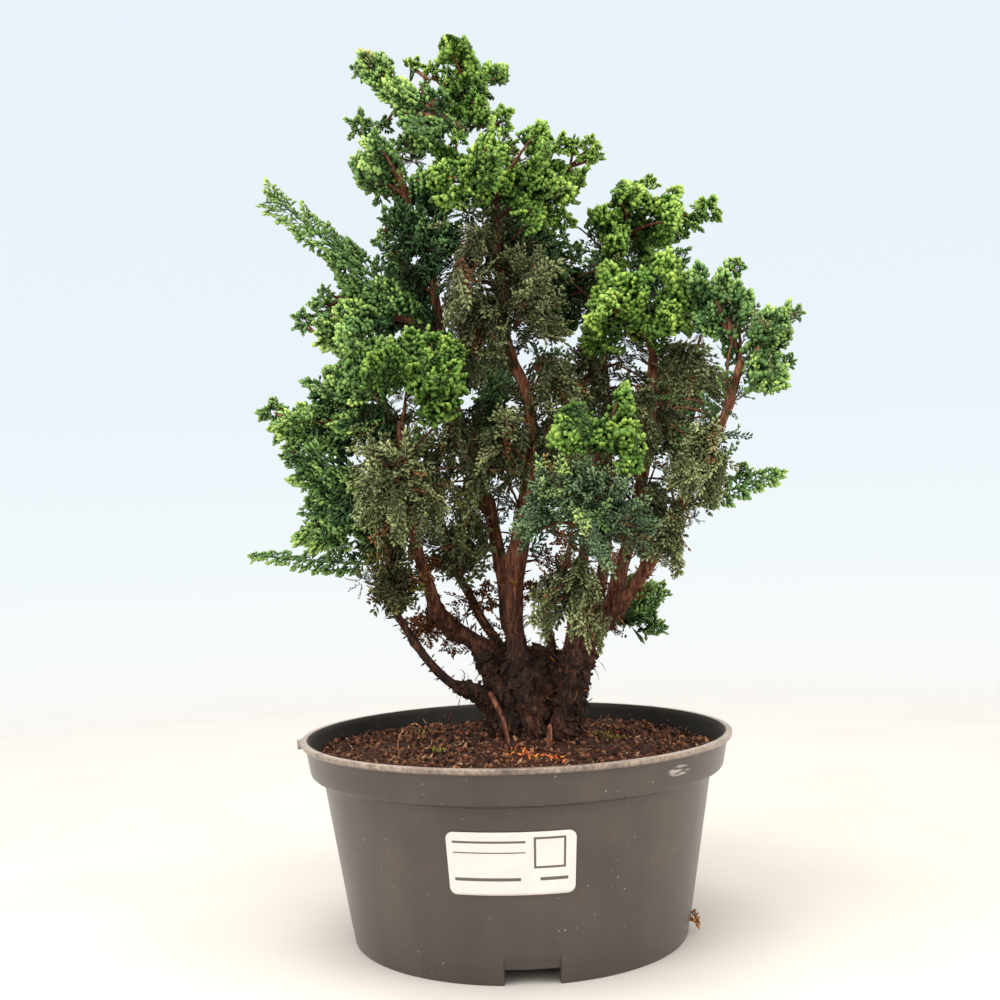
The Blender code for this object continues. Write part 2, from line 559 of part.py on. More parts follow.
def plume_on(kind, twig, radii, share, spin, size, luck):
    """One plume's place: its root sunk in the twig, its direction, the way its face looks, its size.

    A frond runs on along its twig. The plumes of an arm stand above and below it by turns, those of
    a drape hang down, and those of a clump spread all round.
    """
    habit = KINDS[kind]
    root, along = place_along(twig, share)
    core = np.interp(share, np.linspace(0.0, 1.0, len(radii)), radii)
    flat = np.cross(along, (0.0, 0.0, 1.0))
    side = unit(flat) if np.linalg.norm(flat) > 0.1 else np.array([1.0, 0.0, 0.0])
    radial = turned_about(side, along, spin)
    lean = math.radians(habit["lean"]) * (1 + LEAN_VARIES * (2 * luck[0] - 1))
    if kind == "frond":
        way = along
        face = unit(np.cross(np.cross(way, FROND_FACE), way))
    elif kind == "arm":
        upright = math.pi / 2 + math.pi * round(spin / GOLDEN_ANGLE)
        radial = turned_about(side, along, upright + spin % FAN_SWAY - FAN_SWAY / 2)
        way = unit(along * math.cos(lean) + radial * math.sin(lean))
        face = unit(np.cross(np.cross(way, side), way))
    elif kind == "drape":
        outward = unit(radial - np.array([0.0, 0.0, radial[2]]) + 1e-3)
        way = unit(outward * math.sin(lean) + np.array([0.0, 0.0, -1.0]) * math.cos(lean))
        face = unit(np.cross(np.cross(way, outward), way))
    else:
        way = unit(along * math.cos(lean) + radial * math.sin(lean))
        face = unit(np.cross(np.cross(way, along), way))
    face = turned_about(face, way, math.radians(habit["twist"]) * (2 * luck[1] - 1))
    return dict(root=root + way * (core * ROD_FLAT - ROOT_DEPTH), way=way, face=face,
                side=np.cross(face, way), size=size, width=habit["width"] * size,
                bend=math.radians(habit["bend"]), habit=habit, luck=luck)


def lobed_outline(plume):
    """The flat outline of a plume as shares of its length and width, with its faces and its border.

    It starts at a pointed root. Notches run up the rib in pairs, and between two notches stands a lobe
    that leans forward to a point. One more lobe stands ahead on the last pair of notches.
    """
    count = plume["habit"]["lobes"]
    neck = plume["habit"]["neck"]
    shake = np.random.default_rng(int(plume["luck"][2] * 1e6))
    notches = neck + (RIB_END - neck) * np.arange(count + 1) / count
    pitch = notches[1] - notches[0]
    points = [(0.0, 0.0)]
    for at, share in zip(notches, np.linspace(1.0, RIB_TAPER, count + 1)):
        half = plume["habit"]["rib"] * share
        points += [(at, -half), (at, half)]
    triangles = [(0, 1, 2)]
    for low in range(1, 2 * count, 2):
        triangles += [(low, low + 2, low + 3), (low, low + 3, low + 1)]
    sides = []
    for sign, offset in ((-1, 1), (1, 2)):
        border = []
        for number in range(count):
            low = 2 * number + offset
            spread = math.sin(math.pi * np.interp((number + 0.5) / count, (0.0, 1.0), LEAF_WIDEST))
            wide = sign * spread * (1 + LOBE_VARIES * (2 * shake.random() - 1))
            ahead = pitch * np.interp(shake.random(), (0.0, 1.0), LOBE_AHEAD)
            points.append((notches[number] + ahead, wide))
            triangles.append((low, len(points) - 1, low + 2))
            border += [low, len(points) - 1]
        sides.append(border)
    last = 2 * count + 1
    points.append((1.0, LOBE_VARIES * (2 * shake.random() - 1)))
    triangles.append((last, len(points) - 1, last + 1))
    border = [0] + sides[0] + [last, len(points) - 1, last + 1] + sides[1][::-1]
    return np.array(points), triangles, border


def bent(plume, outline):
    """The outline's points in space: the rib bends back as it runs, and the lobes ruffle up and down."""
    u, v = outline[:, 0], outline[:, 1]
    bend = plume["bend"]
    ahead = np.sin(bend * u) / bend * plume["size"]
    back = (1 - np.cos(bend * u)) / bend * plume["size"]
    ruffle = RUFFLE_DEPTH * plume["width"] * np.sin(RUFFLE_WAVES * (u + plume["luck"][2])) * np.abs(v)
    cup = CUP_DEPTH * plume["width"] * v * v
    return (plume["root"] + np.outer(ahead, plume["way"]) + np.outer(v * plume["width"], plume["side"])
            + np.outer(ruffle - back - cup, plume["face"]))


def plume_mesh(plume):
    """A thin blade whose two faces are split into triangles alike, and meet in a point at each lobe."""
    outline, split, border = lobed_outline(plume)
    middle = bent(plume, outline)
    pairs = 2 * plume["habit"]["lobes"] + 3
    half = plume["face"] * PLUME_THICKNESS / 2
    points = np.concatenate([middle[:pairs] - half, middle[:pairs] + half, middle[pairs:]])
    low = list(range(pairs)) + [number + pairs for number in range(pairs, len(middle))]
    high = [number + pairs for number in range(len(middle))]
    solid = [tuple(low[i] for i in face) for face in split]
    solid += [tuple(high[i] for i in face) for face in split]
    for a, b in zip(border, border[1:] + border[:1]):
        wall = {low[a], low[b], high[b], high[a]}
        if len(wall) == 4:
            solid += [(low[a], low[b], high[b]), (low[a], high[b], high[a])]
        else:
            solid.append((low[a], low[b], high[a]) if low[b] == high[b] else (low[a], low[b], high[b]))
    return mesh_from("plume", points, solid)


def plume_samples(plume, start=0.12):
    """Points spread over a plume's blade from a share of its length on, to tell what comes close."""
    along = SAMPLES_PER_LOBE * plume["habit"]["lobes"]
    u, v = np.meshgrid(np.linspace(start, 1.0, along), np.linspace(-BLADE_EDGE, BLADE_EDGE, SAMPLES_ACROSS))
    return bent(plume, np.stack([u.ravel(), v.ravel()], axis=1))


def rod_samples(route, radii):
    """Points along a rod with the rod's radius at each."""
    points, sizes = [], []
    for a, b, thick, thin in zip(route, route[1:], radii, radii[1:]):
        count = max(2, int(np.linalg.norm(b - a) / ROD_SPACING))
        shares = np.arange(count + 1)[:, None] / count
        points.append(a + (b - a) * shares)
        sizes.append(thick + (thin - thick) * shares[:, 0])
    return np.concatenate(points), np.concatenate(sizes)


def gap_to(points, others, radii=0.0):
    """The smallest distance from the points to balls of the given radii round the others."""
    if len(others) == 0:
        return math.inf
    return float((np.linalg.norm(points[:, None, :] - others[None, :, :], axis=2) - radii).min())


def wood_balls(routes):
    """Balls that fill the stems and the root crown, for boughs to keep clear of."""
    rods = [rod_samples(route, radii) for route, radii in routes.values()]
    burl = np.array(BURL_BALLS, float)
    points = np.concatenate([points for points, sizes in rods] + [burl[:, :3]])
    return points, np.concatenate([sizes for points, sizes in rods] + [burl[:, 3]])


def clear_of_wood(line, radius, wood, wood_radii):
    """The same twig, with its foot moved along it until it stands just clear of the stems."""
    steps = np.diff(line, axis=0)
    room = np.linalg.norm(steps[0])
    for along in np.arange(0.0, room, TWIG_STEP):
        foot = line[0] + steps[0] * along / room
        if gap_to(foot[None, :], wood, wood_radii) > radius + TWIG_GAP:
            return np.concatenate([foot[None, :], line[1:]])
    return line


def cored(line, core, solid, solid_radii):
    """A twig as points and radii, swelling to a core as far as its neighbours leave room."""
    points = np.array([place_along(line, share)[0] for share in CORE_SHARES])
    radii = np.maximum(core * np.array(CORE_SHAPE), TWIG_RADIUS)
    for round_number in range(CORE_ROUNDS):
        for number in range(len(points) - 1):
            part, sizes = rod_samples(points[number:number + 2], radii[number:number + 2])
            if gap_to(part, solid, solid_radii + sizes[:, None] + CORE_GAP) < 0.0:
                radii[number:number + 2] = np.maximum(radii[number:number + 2] * CORE_SHRINK, TWIG_RADIUS)
    return points, radii


def twig_rods(routes):
    """Every bough's twigs as points and radii, clear of the stems and of each other."""
    wood, wood_radii = wood_balls(routes)
    lines = {name: [np.array(line, float) for line in row[3]] for name, row in BOUGHS.items()}
    for name in lines:
        lines[name][0] = clear_of_wood(lines[name][0], TWIG_RADIUS, wood, wood_radii)
    thin = {}
    for name, own in lines.items():
        thin[name] = [rod_samples(line, [TWIG_RADIUS] * len(line)) for line in own]
    for name, own in lines.items():
        far = [rod for other in lines if other != name for rod in thin[other]]
        solid = np.concatenate([wood] + [points for points, sizes in far])
        solid_radii = np.concatenate([wood_radii] + [sizes for points, sizes in far])
        rods = [cored(line, KINDS[BOUGHS[name][0]]["core"], solid, solid_radii) for line in own]
        lines[name] = rods
        thin[name] = [rod_samples(*rod) for rod in rods]
    return lines, thin


def grow_boughs(routes):
    """Place every bough's twigs and plumes, with each plume clear of all other boughs and of the stems.

    Fronds are placed first, as they stand alone in the open. A plume that would come too close to
    another is turned and shrunk a few times and then left out.
    """
    wood, wood_radii = wood_balls(routes)
    twigs, rods = twig_rods(routes)
    grown, taken = {}, {}
    queue = sorted(enumerate(BOUGHS.items()), key=lambda row: row[1][1][0] != "frond")
    for order, (name, (kind, size, count, lines)) in queue:
        chance = np.random.default_rng(SEED + order)
        far = [rod for other in BOUGHS if other != name for rod in rods[other]]
        solid = np.concatenate([wood] + [points for points, sizes in far])
        solid_radii = np.concatenate([wood_radii] + [sizes for points, sizes in far])
        near = np.concatenate([np.zeros((0, 3))] + list(taken.values()))
        near = near[np.linalg.norm(near - twigs[name][0][0][-1], axis=1) < NEAR_REACH]
        reaches = [np.linalg.norm(np.diff(line, axis=0), axis=1).sum() for line, radii in twigs[name]]
        shares = np.cumsum(reaches) / sum(reaches)
        start = KINDS[kind]["start"]
        plumes = []
        own = np.zeros((0, 3))
        for number in range(count):
            pick = int(np.searchsorted(shares, (number + 0.5) / count))
            line, radii = twigs[name][pick]
            spot = start + (TWIG_END - start) * ((number * GOLDEN_SHARE + FIRST_SPOT) % 1.0)
            luck = chance.random(4)
            for attempt in range(TRIES):
                grow = size * (1 + SIZE_VARIES * (2 * luck[0] - 1)) * (1 - TRY_SHRINK * attempt)
                spin = number * GOLDEN_ANGLE + luck[3] + attempt * TRY_TURN
                plume = plume_on(kind, line, radii, spot, spin, grow, luck)
                points = plume_samples(plume)
                outer = plume_samples(plume, OUTER_SHARE)
                if (gap_to(points, solid, solid_radii) > STEM_CLEARANCE
                        and gap_to(points, near) > PLUME_CLEARANCE
                        and gap_to(outer, own) > OWN_CLEARANCE):
                    plumes.append(plume)
                    own = np.concatenate([own, outer])
                    break
        grown[name] = (kind, twigs[name], plumes)
        taken[name] = np.concatenate([plume_samples(plume) for plume in plumes] or [np.zeros((0, 3))])
    return grown


def bough(name, kind, twigs, plumes, collection, finish):
    """One bough: its forked twig with every plume's root sunk in it, joined as one solid."""
    rods = []
    for number, (line, radii) in enumerate(twigs):
        rods.append(tube("%s_twig_%d" % (name, number), line, radii, collection, resolution=0))
    blades = []
    for number, plume in enumerate(plumes):
        blades.append(new_object("%s_plume_%d" % (name, number), plume_mesh(plume), collection))
    made = rods[0]
    fuse(made, rods[1:] + blades)
    made.name = name
    made.data.materials.append(finish)
    return made


def bough_finish(name, finishes):
    """Bright tips where the light reaches, olive inside, green between."""
    kind = BOUGHS[name][0]
    if kind == "clump":
        return finishes["bright"]
    if kind == "drape":
        return finishes["olive"]
    return finishes["green"]


def main():
    for thing in list(bpy.data.objects):
        bpy.data.objects.remove(thing)
    parts = bpy.data.collections.new("hinoki_bonsai")
    cutters = bpy.data.collections.new("cutters")
    bpy.context.scene.collection.children.link(parts)
    bpy.context.scene.collection.children.link(cutters)
    finishes = {name: material(name, colour, 0.7) for name, colour in COLOURS.items()}
    pot(parts, cutters, finishes["plastic"])
    soil(parts, cutters, finishes["soil"])
    label(parts, finishes["paper"])
    routes = stem_routes()
    trunk(parts, finishes["bark"], routes)
    grown = grow_boughs(routes)
    for name, (kind, twigs, plumes) in grown.items():
        bough(name, kind, twigs, plumes, parts, bough_finish(name, finishes))


main()
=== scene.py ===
# %% [markdown]
# # A hinoki cypress bonsai in its nursery pot
# The real object is a small dwarf conifer, grown from a dozen slim stems, in a round moulded pot with
# soil and a plain paper label. A conifer is slow to model leaf by leaf and dull to model as a lump. Here
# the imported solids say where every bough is, and thousands of small sprays of scale leaves are grown out
# of them with numpy, so that each bough keeps its place and gains its real texture.

import json

import bpy
import numpy as np
from mathutils import Matrix, Vector
from mathutils.bvhtree import BVHTree


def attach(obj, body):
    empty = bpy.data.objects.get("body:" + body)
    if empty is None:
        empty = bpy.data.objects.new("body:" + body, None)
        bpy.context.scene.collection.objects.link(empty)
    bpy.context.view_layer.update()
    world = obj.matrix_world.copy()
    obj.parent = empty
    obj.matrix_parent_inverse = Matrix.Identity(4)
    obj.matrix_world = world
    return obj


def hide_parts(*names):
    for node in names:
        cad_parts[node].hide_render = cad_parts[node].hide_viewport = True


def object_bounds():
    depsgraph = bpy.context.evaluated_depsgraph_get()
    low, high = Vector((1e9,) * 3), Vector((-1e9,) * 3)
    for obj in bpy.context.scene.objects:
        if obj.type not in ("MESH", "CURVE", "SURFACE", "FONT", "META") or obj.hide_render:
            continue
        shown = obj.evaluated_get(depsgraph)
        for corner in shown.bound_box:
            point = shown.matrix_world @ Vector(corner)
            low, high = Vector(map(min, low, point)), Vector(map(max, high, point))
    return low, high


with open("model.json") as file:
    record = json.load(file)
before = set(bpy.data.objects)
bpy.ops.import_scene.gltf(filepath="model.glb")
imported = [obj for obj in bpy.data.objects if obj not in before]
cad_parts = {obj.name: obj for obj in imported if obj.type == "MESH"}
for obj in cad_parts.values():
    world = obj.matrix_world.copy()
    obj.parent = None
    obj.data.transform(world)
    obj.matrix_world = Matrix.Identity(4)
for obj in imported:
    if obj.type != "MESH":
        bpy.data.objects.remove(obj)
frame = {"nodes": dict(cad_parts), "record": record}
nodes = frame["nodes"]
solid_box = [[float(v) for v in corner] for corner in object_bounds()]
MM = 0.001
UP = np.array([0.0, 0.0, 1.0])
print("solids", len(nodes), "box in mm", [[round(v / MM, 1) for v in corner] for corner in solid_box])

# %% [markdown]
# Every colour below is written as it looks on a screen, in sRGB hex. Blender's shaders count light
# linearly, so one function turns a hex colour to linear numbers, and one function adds any shader node
# with its settings and its links. With those two, a material stays short enough to read as a recipe.

# %% Colours and shader nodes
def linear(text):
    """An sRGB hex colour as linear red, green, blue and full alpha.

    Each channel is divided by 12.92 when small, and else is ((c + 0.055) / 1.055) to the power 2.4.
    """
    channels = [int(text[i:i + 2], 16) / 255 for i in (1, 3, 5)]
    return [c / 12.92 if c <= 0.04045 else ((c + 0.055) / 1.055) ** 2.4 for c in channels] + [1.0]


def add(tree, kind, inputs=(), out=0, stops=(), **settings):
    """Add a node and give back one of its outputs.

    The inputs are a list in the node's own order, or a dict by name or number. Each is a socket to link, a
    number, a vector or a hex colour. The stops are a colour ramp's (place, hex colour) pairs. A Mix of
    colours takes its factor at 0 and its two colours at 6 and 7, and gives its result at 2.
    """
    made = tree.nodes.new("ShaderNode" + kind)
    for name, value in settings.items():
        setattr(made, name, value)
    for name, value in inputs.items() if isinstance(inputs, dict) else enumerate(inputs):
        if isinstance(value, bpy.types.NodeSocket):
            tree.links.new(value, made.inputs[name])
        else:
            made.inputs[name].default_value = linear(value) if isinstance(value, str) else value
    for number, (place, colour) in enumerate(stops):
        known = made.color_ramp.elements
        stop = known[number] if number < len(known) else known.new(place)
        stop.position, stop.color = place, linear(colour)
    return made.outputs[out]


def finish_named(name, **settings):
    """A material with one Principled shader: the material, its tree and the shader, to hang a pattern on."""
    made = bpy.data.materials.new(name)
    made.use_nodes = True
    shader = made.node_tree.nodes["Principled BSDF"]
    for key, value in settings.items():
        shader.inputs[key.replace("_", " ")].default_value = value
    return made, made.node_tree, shader


def dressed(tree, shader, colour, *reliefs):
    """Give a shader its colour, and reliefs, (pattern, depth in mm) pairs that lie one over another."""
    tree.links.new(colour, shader.inputs["Base Color"])
    below = {}
    for pattern, depth_mm in reliefs:
        below = {"Normal": add(tree, "Bump", {"Height": pattern, "Distance": depth_mm * MM, **below})}
    for name, relief in below.items():
        tree.links.new(relief, shader.inputs[name])


def noise_of(tree, size_mm, detail=3.0, stretch=(1, 1, 1)):
    """A noise pattern whose lumps are about size_mm wide, read from the piece's own place in metres."""
    place = add(tree, "TexCoord", out="Object")
    scaled = add(tree, "Mapping", {"Vector": place, "Scale": [1 / s for s in stretch]})
    return add(tree, "TexNoise", {"Vector": scaled, "Scale": 1 / (size_mm * MM), "Detail": detail}, out="Fac")


print("pale floor as linear light", [round(v, 3) for v in linear("#f6f1ea")])

# %% [markdown]
# A mesh is only arrays: where the points are, and which points each face joins. Two shapes carry this
# scene. A grid is a sheet of points in rows and columns. A loft is a ring of points carried along a path,
# closed by a point at each end, and it makes a stem, a leaf or a crumb of soil alike. Both are worked out
# for thousands of copies at once, because numpy is slow point by point and fast by the array.

# %% Grids, lofts and meshes
def unit(vectors):
    """The same directions with a length of 1, along the last axis."""
    return vectors / np.maximum(np.linalg.norm(vectors, axis=-1, keepdims=True), 1e-12)


def square_to(ways, axis):
    """The part of each way that lies across an axis of length 1: w - (w . a) a."""
    return ways - (ways * axis).sum(axis=-1, keepdims=True) * axis


def turned(r, a, z):
    """Points at radius r, angle a and height z: (r cos a, r sin a, z)."""
    return np.stack(np.broadcast_arrays(r * np.cos(a), r * np.sin(a), z), axis=-1)


def bend(t, start, middle, end):
    """A curve that leaves start for middle and arrives at end: (1-t)^2 start + 2t(1-t) middle + t^2 end."""
    return (1 - t) ** 2 * start + 2 * t * (1 - t) * middle + t ** 2 * end


def grid_faces(rows, columns, around=False):
    """Two triangles for each cell of a grid; around joins the last column to the first."""
    wide = columns if around else columns - 1
    row, column = np.meshgrid(np.arange(rows - 1), np.arange(wide), indexing="ij")
    a = row * columns + column
    b = row * columns + (column + 1) % columns
    c, d = b + columns, a + columns
    return np.stack([a, b, c, a, c, d], axis=-1).reshape(-1, 3)


def closed_faces(rows, columns):
    """The faces of rings joined row by row, with one point before the first ring and one after the last."""
    last = rows * columns + 1
    j = np.arange(columns)
    k = (j + 1) % columns
    start = np.stack([0 * j, 1 + k, 1 + j], axis=1)
    end = np.stack([0 * j + last, last - columns + j, last - columns + k], axis=1)
    return np.concatenate([start, grid_faces(rows, columns, around=True) + 1, end])


def loft(paths, radii, facing, sides, flat=1.0):
    """Closed tubes: paths (n, m, 3) from end point to end point, radii (n, m - 2) of the rings between.

    Ring point j is path + radius * (cos(t) * side + flat * sin(t) * face), where t is j / sides of a
    turn, side crosses the path, and face is as near to the wanted facing (n, 3) as the path lets it be.
    """
    count, long = paths.shape[:2]
    along = unit(paths[:, 2:] - paths[:, :-2])
    side = unit(np.cross(along, facing[:, None, :]))
    face = np.cross(side, along)
    turn = np.arange(sides) * 2 * np.pi / sides
    ring = (np.cos(turn)[:, None] * side[:, :, None, :] + flat * np.sin(turn)[:, None] * face[:, :, None, :])
    rings = paths[:, 1:-1, None, :] + ring * radii[:, :, None, None]
    points = np.concatenate([paths[:, :1], rings.reshape(count, -1, 3), paths[:, -1:]], axis=1)
    faces = closed_faces(long - 2, sides)[:, ::-1]
    shifts = (np.arange(count) * points.shape[1])[:, None, None]
    return points, (faces[None] + shifts).reshape(-1, 3)


def volume(points, faces):
    """The volume that faces close: a sixth of the sum of a . (b x c), above 0 when they look outwards."""
    a, b, c = (points[faces[:, i]] for i in range(3))
    return float((a * np.cross(b, c)).sum() / 6)


def outwards(points, faces):
    """A closed mesh whose faces look outwards, turned round if they didn't."""
    return points, faces if volume(points, faces) > 0 else faces[:, ::-1]


def piece(name, slot, finishes, points, faces, parts=None, marks=None, smooth=True, replaces=()):
    """Make a piece from points in millimetres, riding on the root, with a material for each part number.

    marks are numbers kept on the points under a name, which a material can read back.
    """
    mesh = bpy.data.meshes.new(name)
    mesh.vertices.add(len(points))
    mesh.vertices.foreach_set("co", (points * MM).astype(np.float32).ravel())
    mesh.loops.add(3 * len(faces))
    mesh.loops.foreach_set("vertex_index", faces.astype(np.int32).ravel())
    mesh.polygons.add(len(faces))
    mesh.polygons.foreach_set("loop_start", np.arange(0, 3 * len(faces), 3, dtype=np.int32))
    for finish in finishes:
        mesh.materials.append(finish)
    if parts is not None:
        mesh.polygons.foreach_set("material_index", parts.astype(np.int32))
    mesh.update(calc_edges=True)
    mesh.polygons.foreach_set("use_smooth", np.full(len(faces), smooth))
    for key, values in (marks or {}).items():
        mesh.attributes.new(key, "FLOAT", "POINT").data.foreach_set("value", values.astype(np.float32))
    made = bpy.data.objects.new(name, mesh)
    bpy.context.scene.collection.objects.link(made)
    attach(made, "root")
    if replaces:
        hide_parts(*replaces)
    return made


def joined(*meshes):
    """Several (points, faces) pairs as one pair."""
    counts = np.cumsum([0] + [len(points) for points, _ in meshes[:-1]])
    return (np.concatenate([points for points, _ in meshes]),
            np.concatenate([faces + shift for (_, faces), shift in zip(meshes, counts)]))


def spread(values, points):
    """Numbers that belong to bodies of equally many points, each given to all points of its body."""
    return np.repeat(values, len(points) // len(values))


def bumps(points, size, seed):
    """Smooth random heights from -1 to 1, one for each point.

    Every corner of a lattice of cubes of the given size gets a random number, hashed from its place and
    the seed, and a point blends the eight round it, each share s eased to s * s * (3 - 2 * s).
    """
    scaled = points / size
    cell = np.floor(scaled).astype(np.int64)
    ease = scaled - cell
    ease = ease * ease * (3 - 2 * ease)
    total = np.zeros(len(points))
    for corner in np.ndindex(2, 2, 2):
        at = cell + np.array(corner)
        hashed = (at[:, 0] * 73856093) ^ (at[:, 1] * 19349663) ^ (at[:, 2] * 83492791) ^ (seed * 97654321)
        hashed = ((hashed ^ (hashed >> 13)) * 1274126177) & 0xFFFFFFFF
        height = ((hashed ^ (hashed >> 16)) & 0xFFFF) / 32767.5 - 1
        total += height * np.where(corner, ease, 1 - ease).prod(axis=1)
    return total


def lumps_of(points, layers):
    """Heights in mm at points: each layer is (height, width, seed), and the layers are added up."""
    return sum(tall * bumps(points, wide, seed) for tall, wide, seed in layers)


test_points, test_faces = loft(np.array([[[0, 0, 0], [0, 0, 1], [0, 0, 3], [0, 0, 4.0]]]),
                               np.array([[1.0, 1.0]]), np.array([[0, 1.0, 0]]), 6)
print("a test tube closes a volume of", round(volume(test_points.reshape(-1, 3), test_faces), 2))

# %% [markdown]
# The picture was taken from a little above the pot's rim, straight in front, by a camera that tilts up a
# degree and a half and leans a little to one side. Setting a Blender camera by hand to such a view takes
# many tries. Here its place and three small turns were worked out from the pot, whose circles are known,
# so the lens is what makes a millimetre at the pot as many pixels wide as it is in the photograph.

# %% The camera
EYE = Vector((0.0, -578.0, 176.0))
YAW, PITCH, ROLL = 0.007, -0.026, -0.0295
FOCAL_PIXELS, PICTURE_PIXELS, SENSOR_MM = 1287.0, 1000.0, 36.0

across = Vector((np.cos(YAW), np.sin(YAW), 0.0))
level = Vector((-np.sin(YAW), np.cos(YAW), 0.0))
ahead = np.cos(PITCH) * level - np.sin(PITCH) * Vector(UP)
above = np.sin(PITCH) * level + np.cos(PITCH) * Vector(UP)
right = np.cos(ROLL) * across + np.sin(ROLL) * above
upright = -np.sin(ROLL) * across + np.cos(ROLL) * above
lens = bpy.data.cameras.new("photo_camera")
lens.sensor_width = SENSOR_MM
lens.lens = FOCAL_PIXELS * SENSOR_MM / PICTURE_PIXELS
lens.clip_start = 0.01
camera = bpy.data.objects.new("photo_camera", lens)
aimed = Matrix((right, upright, -ahead)).transposed().to_4x4()
camera.matrix_world = Matrix.Translation(EYE * MM) @ aimed
bpy.context.scene.collection.objects.link(camera)
bpy.context.scene.camera = camera
print("lens", round(lens.lens, 2), "mm, camera at", [round(v, 3) for v in camera.location])

# %% [markdown]
# The object stands on a pale table in an evenly lit white studio. A hard light would turn fine foliage
# into noise, so the light comes from large soft panels: one overhead, one in front on each side, and a
# pale sky all round. The floor fades out with distance, so that no edge of it shows against the sky.

# %% The floor, the sky and the lights
FLOOR_RADIUS, FLOOR_SIDES, FLOOR_FADE = 1500.0, 64, (260.0, 1200.0)
SKY_LIGHT = 1.15

floor_finish, tree, shader = finish_named("matt_painted_table", Roughness=0.75)
dressed(tree, shader, add(tree, "ValToRGB", [noise_of(tree, 90, detail=2)],
                          stops=((0.35, "#c3bfbb"), (0.65, "#c8c4c0"))))
distance = add(tree, "VectorMath", [add(tree, "TexCoord", out="Object")], out="Value", operation="LENGTH")
fade = add(tree, "MapRange", [distance, FLOOR_FADE[0] * MM, FLOOR_FADE[1] * MM],
           interpolation_type="SMOOTHSTEP")
faded = add(tree, "MixShader", [fade, shader.outputs[0], add(tree, "BsdfTransparent")])
tree.links.new(faded, tree.nodes["Material Output"].inputs["Surface"])

rim = turned(FLOOR_RADIUS, np.linspace(0, 2 * np.pi, FLOOR_SIDES, endpoint=False), 0.0) * MM
floor_mesh = bpy.data.meshes.new("table")
floor_mesh.from_pydata(rim.tolist(), [], [list(range(FLOOR_SIDES))])
floor_mesh.materials.append(floor_finish)
table = bpy.data.objects.new("table", floor_mesh)
bpy.context.scene.collection.objects.link(table)

sky = bpy.data.worlds.new("studio")
bpy.context.scene.world = sky
sky.use_nodes = True
tree = sky.node_tree
tree.nodes.remove(tree.nodes["Background"])
height = add(tree, "SeparateXYZ", [add(tree, "TexCoord", out="Generated")], out="Z")
seen = add(tree, "ValToRGB", [add(tree, "Math", [height, 1.0, 0.5], operation="MULTIPLY_ADD")],
           stops=((0.25, "#fdfaf6"), (0.40, "#f9fbfa"), (0.50, "#f1f9fc"), (0.62, "#ebf4fb"),
                  (0.95, "#e9f1fa")))
shown = add(tree, "Background", {"Color": seen, "Strength": 1.0})
lighting = add(tree, "Background", {"Color": "#fffaf3", "Strength": SKY_LIGHT})
sky_out = add(tree, "MixShader", [add(tree, "LightPath", out="Is Camera Ray"), lighting, shown])
tree.links.new(sky_out, tree.nodes["World Output"].inputs["Surface"])


def panel(name, at_mm, size_mm, watts, colour):
    """A square soft light that looks at the middle of the object."""
    light = bpy.data.lights.new(name, "AREA")
    light.shape = "SQUARE"
    light.size = size_mm * MM
    light.energy = watts
    light.color = linear(colour)[:3]
    held = bpy.data.objects.new(name, light)
    held.location = Vector(at_mm) * MM
    held.rotation_euler = (Vector((0, 0, 180)) * MM - held.location).to_track_quat("-Z", "Y").to_euler()
    bpy.context.scene.collection.objects.link(held)


panel("overhead_panel", (-150, -250, 1300), 1000, 16.0, "#fffdf8")
panel("left_panel", (-950, -900, 700), 800, 8.5, "#fffdfa")
panel("right_panel", (1050, -600, 620), 800, 9.5, "#fffaf2")
bpy.context.scene.view_settings.view_transform = "Standard"

# %% [markdown]
# The pot is one injection moulding in dark polypropylene: a tapered wall, a taller band with a thin lip
# that stands out, and a foot ring with four notches that let water out. It could be a lathe shape with
# bevels. A profile carried round a circle is as quick, and its rows can also be pushed about by a formula,
# which is how the notches, the ragged flash on the lip and the slight wobble of a cheap pot are made.

# %% The pot's profile
LIP_Z, LIP_R, LIP_INSIDE_R, LIP_UNDER_Z = 88.0, 95.5, 91.4, 85.6
BAND_TOP_R, BAND_LOW_R, BAND_LOW_Z = 93.3, 90.9, 73.0
WALL_TOP_R, WALL_TOP_Z, FOOT_R, WALL = 85.6, 71.6, 73.6, 1.8
FOOT_WIDTH, UNDER_Z, FLOOR_Z = 3.6, 6.6, 9.0
SEAM_Z, SEAM_DEPTH = 7.4, 0.3


def wall_radius(z):
    """The outside of the tapered wall at a height: a straight line from the foot to the band."""
    return FOOT_R + (WALL_TOP_R - FOOT_R) * np.clip(z / WALL_TOP_Z, 0, 1)


def rounded(corners, most=6.0, steps=3):
    """A profile through (r, z, rounding) corners.

    A corner C between A and B becomes the curve (1-t)^2 P + 2t(1-t) C + t^2 Q, where P and Q lie on its two
    sides at the rounding's distance, and long straight runs are split into steps of at most most.
    """
    places = np.array([corner[:2] for corner in corners], dtype=float)
    line = [places[0]]
    for before, here, after, corner in zip(places, places[1:], places[2:], corners[1:]):
        t = np.linspace(0, 1, steps + 1)[:, None]
        first = here + unit(before - here) * corner[2]
        second = here + unit(after - here) * corner[2]
        line.extend(bend(t, first, here, second) if corner[2] else [here])
    line.append(places[-1])
    line = np.array(line)
    runs = np.linalg.norm(np.diff(line, axis=0), axis=1)
    parts = [np.linspace(a, b, max(1, int(np.ceil(run / most))), endpoint=False)
             for a, b, run in zip(line, line[1:], runs)]
    return np.concatenate(parts + [line[-1:]])


